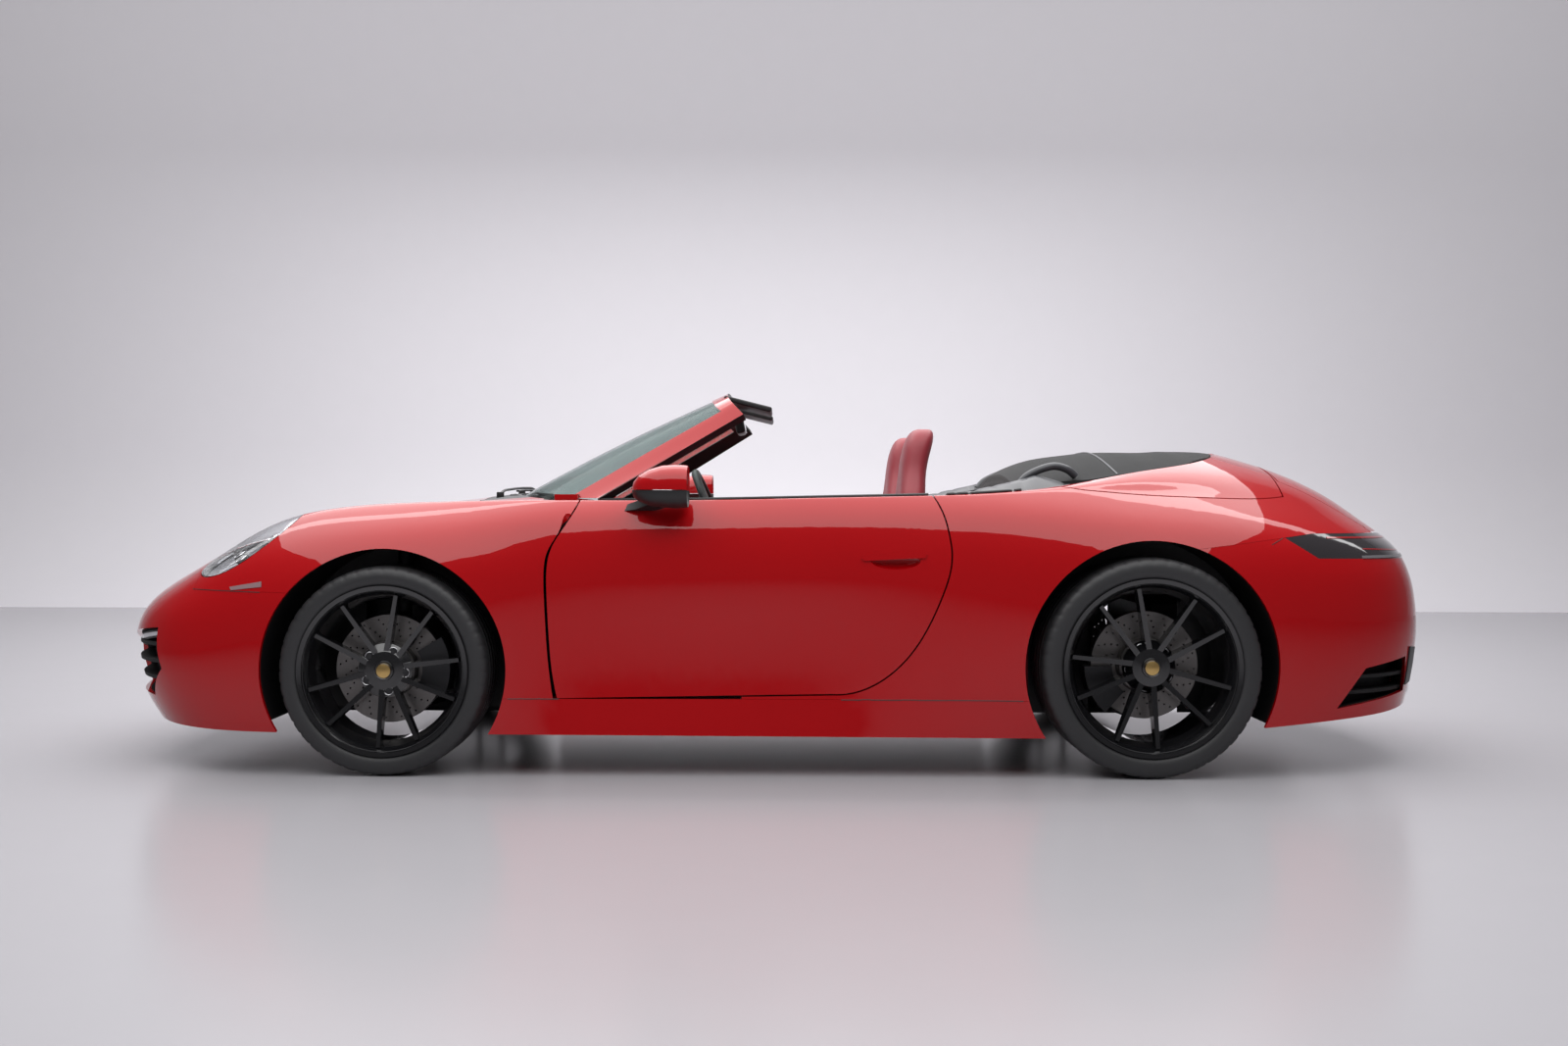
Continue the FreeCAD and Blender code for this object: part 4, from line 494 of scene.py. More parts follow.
def top_edge(nodes, x, y):
    """The inner top edge of the left body side, found by going outwards from y."""
    while y > OUTERMOST_EDGE:
        spot, _ = from_above(nodes, x, y)
        if spot is not None and spot.z > LOWEST_BELT:
            return Vector((x, y, spot.z))
        y -= SEARCH_STEP
    return None


def on_side(nodes, x, z, lift=0.0):
    """A point on the left skin at a place in the side view, lifted off it."""
    place, normal = touch(nodes, (x, BESIDE, z), (0, 1, 0))
    if place is None:
        place, normal, _, _ = skin_of(nodes).find_nearest(Vector((x, -0.9, z)))
        normal = normal if normal.y < 0 else -normal
    return place + normal * lift


def side_band(nodes, upper, lower, rows, lift, thick, count=24):
    """A strip laid on the left skin between two lines of the side view, with a thickness."""
    tops = smooth_path([(x, 0, z) for x, z in upper], count)
    lows = smooth_path([(x, 0, z) for x, z in lower], count)
    outer, inner = [], []
    for j in range(rows + 1):
        line = [a.lerp(b, j / rows) for a, b in zip(tops, lows)]
        outer.append([on_side(nodes, p.x, p.z, lift) for p in line])
        inner.append([on_side(nodes, p.x, p.z, lift - thick) for p in line])
    return loft(outer + inner[::-1], closed_loop=True)


def end_point(node, end, angle, z, lift):
    """A point on the skin of the nose or the tail, at a plan angle seen from inside the car."""
    ahead = -1 if end == "nose" else 1
    way = Vector((ahead * math.cos(angle), -math.sin(angle), 0))
    middle = Vector((front(-0.30) if end == "nose" else rear(0.30), 0, z))
    spot, normal = touch([node], middle + way * 2.0, -way)
    return None if spot is None else spot + normal * lift


def end_band(node, end, angles, low, high, lift, thick=0.004, count=40):
    """A strip round one end of the car between two plan angles; low and high may slope along it."""
    rows_out, rows_in = [], []
    for t in (0.0, 0.5, 1.0):
        line_out, line_in = [], []
        for i in range(count):
            share = i / (count - 1)
            a = math.radians(angles[0] + (angles[1] - angles[0]) * share)
            bottom = low[0] + (low[1] - low[0]) * share
            z = bottom * (1 - t) + (high[0] + (high[1] - high[0]) * share) * t
            line_out.append(end_point(node, end, a, z, lift))
            line_in.append(end_point(node, end, a, z, lift - thick))
        rows_out.append(line_out)
        rows_in.append(line_in)
    rows = rows_out + rows_in[::-1]
    kept = [i for i in range(count) if all(row[i] for row in rows)]
    return capped(loft([[row[i] for i in kept] for row in rows], closed_loop=True))


def capped(mesh):
    """Closes what is left open."""
    shape = bmesh.new()
    shape.from_mesh(mesh)
    bmesh.ops.holes_fill(shape, edges=shape.edges, sides=0)
    bmesh.ops.recalc_face_normals(shape, faces=shape.faces)
    shape.to_mesh(mesh)
    shape.free()
    return mesh


def skin_copy(node, keep, lift, thick):
    """A thin cover made of a solid's own faces where keep(centre, normal) says so, lifted off it."""
    shape = bmesh.new()
    shape.from_mesh(NODES[node].data)
    bmesh.ops.remove_doubles(shape, verts=shape.verts, dist=1e-5)
    shape.normal_update()
    spare = [f for f in shape.faces if not keep(f.calc_center_median(), f.normal)]
    bmesh.ops.delete(shape, geom=spare, context="FACES")
    shape.normal_update()
    for vert in shape.verts:
        vert.co += vert.normal * lift
    bmesh.ops.solidify(shape, geom=list(shape.faces), thickness=thick)
    return mesh_from(shape)


class MakeBody(bpy.types.Operator):
    """Gives every solid of the car its finish"""
    bl_idname = "car.make_body"
    bl_label = "Body finishes"

    LOOKS = {
        "paint": ["hood", "front_bumper", "rear_bumper", "top_lid", "engine_lid", "rear_spoiler",
                  "side_sills", "windscreen_frame"]
                 + pairs("front_fender", "rear_quarter", "door", "mirror"),
        "satin_black": ["cowl", "front_arch_liners", "rear_arch_liners", "luggage_tub", "door_pillars",
                        "door_hinges", "hood_hinges", "roof_well", "front_beam", "rear_beam"],
        "dull_black": ["front_grilles", "rear_outlets", "engine_grille"],
        "carpet": ["floor_pan"],
        "cast_metal": ["front_suspension", "rear_suspension", "engine_block"] + pairs("knuckle_front"),
        "black_leather": ["dashboard", "steering_wheel", "centre_console"],
        "leather": ["rear_seats"] + pairs("seat"),
        "roof_cloth": ["folded_top"],
        "pane": ["windscreen_glass"],
        "clear_lens": ["headlamps"],
        "smoked_lens": ["tail_lamps"],
        "bright_steel": ["exhaust"],
        "gloss_black": pairs("rim_front", "rim_rear"),
        "tyre": pairs("tyre_front", "tyre_rear"),
        "brake_iron": pairs("disc_front", "disc_rear"),
    }

    def execute(self, context):
        for look, nodes in self.LOOKS.items():
            for node in nodes:
                dress(NODES[node].data, look)
        return {"FINISHED"}


class MakeWheels(bpy.types.Operator):
    """Builds tyres with tread, drilled brake discs, wheel bolts and bare centre caps"""
    bl_idname = "car.make_wheels"
    bl_label = "Wheels"

    TYRE_STEPS = 288
    GROOVES = (0.52, 0.18, -0.18, -0.52)
    SHOULDER_CUT = 0.0028
    FRICTION_FACE = 0.006
    DRILL_RADII = (0.108, 0.126, 0.144, 0.161)
    BOLT_FACE = 0.066
    CAP_SETBACK = 0.030

    def tyre(self, spec, sizes):
        """A tyre with round shoulders, four grooves and cross cuts in its shoulders."""
        half, radius, rim = spec["half"], spec["radius"], spec["rim"]
        side = [(half - 0.0105, rim + 0.0005), (half - 0.0065, rim + 0.004), (half - 0.003, rim + 0.010),
                (half - 0.0005, rim + 0.019), (half, rim + 0.028), (half - 0.0005, radius - 0.028),
                (half - 0.003, radius - 0.0185), (half - 0.008, radius - 0.0105),
                (half - 0.015, radius - 0.0052), (half - 0.024, radius - 0.0022)]
        tread = []
        wide, low = sizes.groove_width / 2, radius - sizes.groove_depth
        for share in self.GROOVES:
            middle = share * half
            tread += [(middle + wide, radius), (middle + wide * 0.8, low), (middle - wide * 0.8, low),
                      (middle - wide, radius)]
        profile = side + tread + [(-out, r) for out, r in side[::-1]]
        profile += [(-half + 0.020, rim - 0.010), (half - 0.020, rim - 0.010)]
        rows = []
        for i, (c, s) in enumerate(circle(self.TYRE_STEPS)):
            row = []
            for out, r in profile:
                if i % 6 == 0 and abs(out) > half * 0.66 and r > radius - 0.02:
                    r -= self.SHOULDER_CUT
                row.append((spec["x"] + r * c, -spec["y"] - out, spec["z"] + r * s))
            rows.append(row)
        return loft(rows, closed_rows=True, closed_loop=True)

    def brake_disc(self, spec, sizes):
        """A turned disc whose friction face is drilled through."""
        x, y, z = spec["x"], -spec["y"], spec["z"]
        face = self.FRICTION_FACE
        body = lathe([(0.0508, 0.034), (0.0508, 0.090), (0.048, 0.0918), (face + 0.002, 0.0918), (face, 0.094),
                      (face, 0.1735), (face - 0.0015, 0.175), (face - 0.0305, 0.175), (face - 0.032, 0.1735),
                      (face - 0.032, 0.082), (0.040, 0.082), (0.040, 0.034)], (x, y, z))
        drills = []
        for k in range(20):
            for n, r in enumerate(self.DRILL_RADII):
                a = math.radians(k * 18 + n * 4.5)
                drills.append(disc((x + r * math.cos(a), y + 0.05, z + r * math.sin(a)), (0, -1, 0),
                                   sizes.hole_radius, 0.1, 8))
        cutter = bpy.data.objects.new("drills", joined(drills))
        target = bpy.data.objects.new("disc", body)
        for helper in (cutter, target):
            bpy.context.scene.collection.objects.link(helper)
        cut = target.modifiers.new("drill", "BOOLEAN")
        cut.object = cutter
        cut.solver = "EXACT"
        bpy.context.view_layer.update()
        drilled = target.evaluated_get(bpy.context.evaluated_depsgraph_get())
        result = bpy.data.meshes.new_from_object(drilled)
        for helper in (cutter, target):
            bpy.data.objects.remove(helper)
        return result

    def bolts(self, spec, sizes):
        """Five round bolt heads with hexagon sockets, and the turned rims of their pockets."""
        heads, rims = [], []
        for k in range(5):
            a = math.radians(spec["turn"] + 72 * k)
            x = spec["x"] + sizes.bolt_circle * math.cos(a)
            z = spec["z"] + sizes.bolt_circle * math.sin(a)
            base = -spec["y"] - self.BOLT_FACE
            heads.append(disc((x, base, z), (0, -1, 0), 0.0125, 0.014, 24, 0.002))
            heads.append(disc((x, base - 0.014, z), (0, -1, 0), 0.0075, 0.004, 6, 0.001))
            rims.append(hoop(Vector((x, base - 0.0145, z)), Vector((1, 0, 0)), Vector((0, 0, 1)),
                             0.0145, 0.0011, 28, 6))
        return joined(heads), joined(rims)

    def cap(self, spec):
        """A plain domed centre cap and the bare round plate let into it."""
        centre = (spec["x"], -spec["y"], spec["z"])
        out = spec["half"] - self.CAP_SETBACK
        dome = lathe([(out - 0.026, 0.0315), (out, 0.0315), (out + 0.004, 0.0300), (out + 0.0052, 0.0262),
                      (out + 0.0040, 0.0240), (out + 0.0062, 0.0200), (out + 0.0078, 0.0100),
                      (out + 0.0082, 0.0002), (out - 0.026, 0.0002)], centre, 48)
        plate = lathe([(out + 0.0050, 0.0225), (out + 0.0070, 0.0222), (out + 0.0095, 0.0120),
                       (out + 0.0100, 0.0002), (out + 0.0050, 0.0002)], centre, 48)
        return dome, plate

    def execute(self, context):
        sizes = context.scene.wheel_sizes
        for axle, spec in WHEELS.items():
            heads, rims = self.bolts(spec, sizes)
            dome, plate = self.cap(spec)
            for label, mesh, look, angle, stands_for in (
                    ("tread_tyre", self.tyre(spec, sizes), "tyre", 40, "tyre"),
                    ("drilled_disc", self.brake_disc(spec, sizes), "brake_iron", 25, "disc"),
                    ("wheel_bolts", heads, "cast_metal", 30, None),
                    ("bolt_rims", rims, "turned_steel", 30, None),
                    ("centre_cap", dome, "gloss_black", 30, None),
                    ("cap_plate", plate, "brass", 30, None)):
                pieces = both(label + "_" + axle, mesh, look, pairs("wheel_" + axle), angle)
                if stands_for:
                    for piece, node in zip(pieces, pairs(stands_for + "_" + axle)):
                        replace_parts(piece, node)
        return {"FINISHED"}


class MakeLamps(bpy.types.Operator):
    """Builds the headlamps with their projectors and the light strips of the tail lamps"""
    bl_idname = "car.make_lamps"
    bl_label = "Lamps"

    LONG = 0.196
    SHORT = 0.128
    LENS_SHARES = (0.985, 0.93, 0.8, 0.6, 0.4, 0.2, 0.02)
    LENS_THICKNESS = 0.003
    # Share of the lamp's radius, and depth below the lens
    BOWL = ((0.99, 0.0045), (0.965, 0.020), (0.90, 0.050), (0.70, 0.066), (0.3, 0.070), (0.02, 0.070))
    BEZEL = ((0.985, 0.004), (0.955, 0.006), (0.935, 0.014), (0.925, 0.020))
    RING_STEPS = 72

    def lamp_frame(self):
        """The middle of the left headlamp on the skin and its outward, long and short directions."""
        middle, out, _, _ = skin_of(["headlamps"]).find_nearest(Vector((front(-0.470), -0.690, 0.730)))
        if out.y > 0:
            out = -out
        long_way = Vector((0.340, 0.100, 0.250))
        long_way = (long_way - out * long_way.dot(out)).normalized()
        return middle, out, long_way, out.cross(long_way)

    def ring(self, place, share, depth):
        """A ring of points on the lens, at a share of its radius and a depth below it."""
        middle, out, long_way, short_way = place
        row = []
        for c, s in circle(self.RING_STEPS):
            flat = middle + long_way * (self.LONG * share * c) + short_way * (self.SHORT * share * s)
            spot, _ = touch(["headlamps"], flat + out * 0.25, -out)
            if spot is None or (spot - flat).length > 0.06:
                spot = skin_of(["headlamps"]).find_nearest(flat)[0]
            row.append(spot - out * depth)
        return row

    def projectors(self, place):
        """Four projector lamps: their pods, eyes and bright rings."""
        middle, out, long_way, short_way = place
        pods, eyes, rings = [], [], []
        for u, w in ((-1, -1), (-1, 1), (1, -1), (1, 1)):
            flat = middle + long_way * (0.062 * u) + short_way * (0.037 * w)
            spot, _ = touch(["headlamps"], flat + out * 0.25, -out)
            flat = (spot if spot else flat) - out * 0.034
            pods.append(disc(flat - out * 0.04, out, 0.024, 0.042, 32, 0.003, 0.92))
            eyes.append(disc(flat, out, 0.0165, 0.007, 32, 0.003, 0.6))
            rings.append(hoop(flat + out * 0.002, long_way, short_way, 0.0195, 0.0016, 32))
        both("headlamp_pods", joined(pods), "satin_black")
        both("headlamp_eyes", joined(eyes), "gloss_black")
        both("headlamp_rings", joined(rings), "bright_steel")

    def execute(self, context):
        place = self.lamp_frame()
        outer = [self.ring(place, share, 0.0) for share in self.LENS_SHARES]
        inner = [self.ring(place, share, self.LENS_THICKNESS) for share in self.LENS_SHARES[::-1]]
        lens = loft(outer + inner, closed_rows=True, closed_loop=True)
        for piece in both("headlamp_lens", lens, "clear_lens"):
            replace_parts(piece, "headlamps")
        for name, profile, look in (("headlamp_bowl", self.BOWL, "reflector"),
                                    ("headlamp_bezel", self.BEZEL, "gloss_black")):
            shell = loft([self.ring(place, share, depth) for share, depth in profile], closed_rows=True)
            both(name, shell, look)
        self.projectors(place)
        path = self.ring(place, 0.80, 0.016)
        strips = [tube([path[(start + k) % self.RING_STEPS] for k in range(7)], 0.0030, 0, 8)
                  for start in (6, 24, 42, 60)]
        both("day_lights", joined(strips), "white_lens")
        self.tail_strips()
        return {"FINISHED"}

    def tail_strips(self):
        """Thin red light lines in the smoked lamps and the dark bar that joins the lamps."""
        rim = end_band("tail_lamps", "tail", (72, 21), (0.699, 0.699), (0.707, 0.709), 0.0030)
        both("tail_lamp_rim", rim, "lamp_rim")
        lines = [end_band("tail_lamps", "tail", (69, 20), (0.764, 0.762), (0.769, 0.769), 0.0016),
                 end_band("tail_lamps", "tail", (60, 20), (0.728, 0.712), (0.731, 0.716), 0.0016)]
        both("tail_light_line", joined(lines), "red_lens")
        for name, low, high, lift, look in (("tail_bar", 0.700, 0.772, 0.0020, "smoked_lens"),
                                            ("tail_bar_light", 0.748, 0.757, 0.0050, "red_lens")):
            bar = end_band("rear_bumper", "tail", (16.5, -16.5), (low, low), (high, high), lift)
            show(name, bar, look)


class MakeTrim(bpy.types.Operator):
    """Adds the seals, side markers, wipers and other small trim of the body, and dark lines of painted shade
    in the panel gaps
    """
    bl_idname = "car.make_trim"
    bl_label = "Body trim"

    SILL_SEAM_Z = 0.2463
    BELT_START = -0.70
    GLASS_FOOT_X = (-0.940, -0.660)
    COWL_HALF_WIDTH = 0.665
    WIPERS = (((front(0.290), -0.40), (front(0.330), 0.16)), ((front(0.282), 0.12), (front(0.345), 0.62)))

    def belt(self, node, x0, x1, offset, count=30):
        """A seal along the top inner edge of the body side."""
        edge = [top_edge([node], x0 + (x1 - x0) * i / (count - 1), self.BELT_START) for i in range(count)]
        points = [p + Vector((0, -offset, 0.003)) for p in edge if p]
        return tube(points, 0.0075, len(points), 10, 0.75)

    def seam(self, nodes, start, end, count=60):
        """A fine dark line laid along a straight panel gap that is drawn in the side view: painted shade
        standing in for the shadow in the gap.
        """
        (x0, z0), (x1, z1) = start, end
        path = [Vector((x0, 0, z0)).lerp(Vector((x1, 0, z1)), i / (count - 1)) for i in range(count)]
        return tube([on_side(nodes, p.x, p.z, -0.0004) for p in path], 0.0016, 0, 6)

    def execute(self, context):
        both("belt_seal", self.belt("door_left", front(0.665), rear(-0.700), 0.010), "seal", DOORS)
        both("quarter_seal", self.belt("rear_quarter_left", rear(-0.650), rear(-0.400), 0.012), "seal")
        nose_side = ["front_fender_left", "front_bumper"]
        marker = side_band(nose_side, [(-1.762, 0.598), (-1.650, 0.617)],
                           [(-1.755, 0.588), (-1.648, 0.600)], 3, 0.0018, 0.006)
        both("side_marker", marker, "marker_lens")
        sill = self.SILL_SEAM_Z
        # Painted shade: dark lines along the gaps at the nose, the tail and both ends of the sill stand in for
        # the shadow in these gaps
        both("panel_seams", joined([
            self.seam(nose_side, (-1.905, 0.588), (-1.652, 0.5835)),
            self.seam(["rear_quarter_left", "rear_bumper"], (1.5795, 0.745), (1.622, 0.7655)),
            self.seam(["side_sills", "front_fender_left"], (-0.862, sill), (-0.700, sill)),
            self.seam(["side_sills", "rear_quarter_left"], (0.20, sill), (0.780, sill))]), "seal")
        self.wipers()
        self.cowl_seal()
        return {"FINISHED"}

    def cowl_seal(self):
        """A soft strip from the cowl up to the foot of the glass."""
        def down(height):
            return Vector((0, 0, -height))
        rows = []
        for i in range(61):
            y = self.COWL_HALF_WIDTH * (i / 30 - 1)
            glass = None
            x = self.GLASS_FOOT_X[0]
            while x < self.GLASS_FOOT_X[1] and glass is None:
                glass, _ = from_above(["windscreen_glass"], x, y)
                x += SEARCH_STEP
            if glass is None:
                continue
            start = min(glass.x - 0.030, -0.824 if abs(y) < 0.640 else -0.800)
            under, _ = from_above(["cowl"], start - 0.004, y)
            a = Vector((start - 0.012, y, under.z + 0.0012 if under else glass.z - 0.006))
            b = Vector((glass.x + 0.006, y, glass.z - 0.0015))
            rows.append([a, a.lerp(b, 0.35) + down(0.002), a.lerp(b, 0.7), b, b + down(0.004),
                         a.lerp(b, 0.5) + down(0.008), a + down(0.001)])
        show("cowl_seal", loft(rows, closed_rows=True, caps=True), "seal")

    def wipers(self):
        """Two wiper arms with their blades, parked at the foot of the glass."""
        parts = []
        for foot, tip in self.WIPERS:
            line = []
            for i in range(9):
                p = Vector((*foot, 0)).lerp(Vector((*tip, 0)), i / 8)
                spot, normal = from_above(["windscreen_glass", "cowl", "hood"], p.x, p.y)
                if spot is not None:
                    line.append(spot + normal * (0.020 if 0 < i < 8 else 0.012))
            parts.append(tube(line, 0.0055, 24, 8, 0.8))
            parts.append(tube([p + Vector((0.012, 0, -0.008)) for p in line[3:]], 0.0065, 24, 8, 0.6))
            parts.append(disc(line[0] - Vector((0, 0, 0.016)), (0, 0, 1), 0.013, 0.022, 24, 0.003))
        show("wipers", joined(parts), "satin_black")


class MakeScreenTrim(bpy.types.Operator):
    """Covers the cabin side of the windscreen frame and adds the sun visors and the cabin mirror"""
    bl_idname = "car.make_screen_trim"
    bl_label = "Windscreen trim"

    VISOR_TILT = 14
    MIRROR_TILT = -12

    def tilted(self, mesh, place, degrees, lift=0.0):
        mesh.transform(Matrix.Translation(place) @ Matrix.Rotation(math.radians(degrees), 4, "Y")
                       @ Matrix.Translation((lift, 0, 0)))
        return mesh

    def execute(self, context):
        cover = skin_copy("windscreen_frame", lambda c, n: 0.05 < n.x and n.z <= 0.75 and c.z > 0.89,
                          0.0004, 0.004)
        show("pillar_trim", cover, "satin_black")
        visors = []
        for _, sign in SIDES:
            middle = Vector((front(1.150), sign * 0.30, 1.215))
            board = block((-0.085, -0.17, -0.009), (0.085, 0.17, 0.009), 0.008, 3)
            visors.append(self.tilted(board, middle, self.VISOR_TILT))
            visors.append(tube([middle + Vector((-0.08, -sign * 0.15, 0.004)),
                                middle + Vector((-0.105, -sign * 0.15, 0.018))], 0.005, 4))
        show("sun_visors", joined(visors), "black_leather")
        head_at = (front(1.112), 0, 1.160)
        stem = tube([(front(1.045), 0, 1.232), (front(1.080), 0, 1.205), (front(1.100), 0, 1.170)],
                    0.009, 12)
        head = block((-0.016, -0.115, -0.032), (0.016, 0.115, 0.032), 0.012, 3)
        glass = block((0.0, -0.105, -0.026), (0.002, 0.105, 0.026), 0.0008, 1)
        show("cabin_mirror", joined([stem, self.tilted(head, head_at, self.MIRROR_TILT)]), "satin_black")
        show("cabin_mirror_glass", self.tilted(glass, head_at, self.MIRROR_TILT, 0.0158),
             "mirror_glass", angle=None)
        return {"FINISHED"}


class MakeMirrors(bpy.types.Operator):
    """Builds the door mirrors: painted cap, black lower half and foot, and their glass"""
    bl_idname = "car.make_mirrors"
    bl_label = "Door mirrors"

    CENTRE = Vector((front(0.905), -0.900, 0.925))
    HALF_WIDE = 0.089
    HALF_TALL = 0.0695
    STEPS_ROUND = 48
    SPLIT_Z = 0.9135
    HALF_SPLIT = 0.0007
    GLASS_SETBACK = 0.0585
    # Place along the car, share of the full section, and how far it drops
    SECTIONS = ((-0.1115, 0.10, 0.012), (-0.106, 0.36, 0.010), (-0.088, 0.62, 0.006), (-0.055, 0.84, 0.003),
                (-0.015, 0.96, 0.0), (0.025, 1.0, 0.0), (0.055, 0.985, 0.0), (0.066, 0.955, 0.0))
    # Corners of the foot from the door out, measured along the car from the front axle
    FOOT = (
        ((0.760, -0.824, 0.846), (0.850, -0.818, 0.846), (0.856, -0.800, 0.868), (0.770, -0.806, 0.868)),
        ((0.800, -0.848, 0.852), (0.880, -0.846, 0.852), (0.884, -0.836, 0.880), (0.806, -0.838, 0.880)),
        ((0.846, -0.872, 0.868), (0.925, -0.872, 0.868), (0.928, -0.866, 0.905), (0.850, -0.866, 0.905)))

    def shell(self):
        """A rounded housing, pointed in front and cut off behind."""
        rows = [[self.CENTRE + Vector((x, self.HALF_WIDE * share * squared(c, 0.78),
                                       self.HALF_TALL * share * squared(s, 0.82) - drop))
                 for c, s in circle(self.STEPS_ROUND)] for x, share, drop in self.SECTIONS]
        rim = rows[-1]
        rows.append([p + (self.CENTRE - p) * 0.05 for p in rim])
        rows.append([p + (self.CENTRE - p) * 0.09 - Vector((0.012, 0, 0)) for p in rim])
        return loft(rows, closed_rows=True, caps=True)

    def cut(self, mesh, height, keep_top):
        shape = bmesh.new()
        shape.from_mesh(mesh)
        bmesh.ops.bisect_plane(shape, geom=list(shape.verts) + list(shape.edges) + list(shape.faces),
                               plane_co=(0, 0, height), plane_no=(0, 0, 1), clear_inner=keep_top,
                               clear_outer=not keep_top)
        bmesh.ops.holes_fill(shape, edges=shape.edges, sides=0)
        return mesh_from(shape)

    def execute(self, context):
        shell = self.shell()
        cap = self.cut(shell, self.SPLIT_Z + self.HALF_SPLIT, True)
        low = self.cut(shell, self.SPLIT_Z - self.HALF_SPLIT, False)
        foot = loft([[(front(x), y, z) for x, y, z in ring] for ring in self.FOOT],
                    closed_rows=True, caps=True)
        for piece, node in zip(both("mirror_cap", cap, "paint", DOORS), pairs("mirror")):
            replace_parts(piece, node)
        both("mirror_lower", joined([low, foot]), "satin_black", DOORS)
        middle = self.CENTRE + Vector((self.GLASS_SETBACK, 0, 0))
        glass = loft([[middle + Vector((0, self.HALF_WIDE * share * c, self.HALF_TALL * share * s))
                       for c, s in circle(self.STEPS_ROUND)] for share in (0.85, 0.02)], closed_rows=True)
        both("mirror_pane", glass, "mirror_glass", DOORS)
        return {"FINISHED"}


class MakeNose(bpy.types.Operator):
    """Adds the light bars over the corner intakes, the dark chin lip and the rear reflectors"""
    bl_idname = "car.make_nose"
    bl_label = "Nose and tail details"

    INTAKE_Y = (-0.385, -0.730)
    INTAKE_TOP = (0.400, 0.455)

    def light_bar(self, lift, half_tall):
        """A bar inside the upper edge of the left corner intake."""
        rows = []
        for i in range(25):
            y = self.INTAKE_Y[0] + (self.INTAKE_Y[1] - self.INTAKE_Y[0]) * i / 24
            top = self.INTAKE_TOP[0] + (self.INTAKE_TOP[1] - self.INTAKE_TOP[0]) * i / 24
            spot, _ = touch(["front_bumper"], (AHEAD, y, top + 0.020), (1, 0, 0))
            if spot is None:
                continue
            x, low, high = spot.x + lift, top - 0.016 - half_tall, top - 0.016 + half_tall
            rows.append([(x, y, low), (x, y, high), (x + 0.008, y, high), (x + 0.008, y, low)])
        return loft(rows, closed_rows=True, caps=True)

    def execute(self, context):
        both("front_light_bar", self.light_bar(0.012, 0.0065), "white_lens")
        both("front_light_case", self.light_bar(0.016, 0.013), "satin_black")
        chin = end_band("front_bumper", "nose", (40, -40), (0.163, 0.163), (0.186, 0.186), 0.0022)
        show("chin_lip", chin, "satin_black")
        end = end_band("rear_bumper", "tail", (47, 42), (0.276, 0.282), (0.404, 0.398), 0.0050, 0.006, 10)
        both("outlet_end", end, "satin_black")
        plate = end_band("rear_bumper", "tail", (33, 25), (0.330, 0.330), (0.350, 0.350), 0.0015)
        both("rear_reflector", plate, "red_lens")
        third = end_band("rear_spoiler", "tail", (9, -9), (0.800, 0.800), (0.808, 0.808), 0.0012)
        show("third_brake_light", third, "red_lens", "engine_lid")
        return {"FINISHED"}


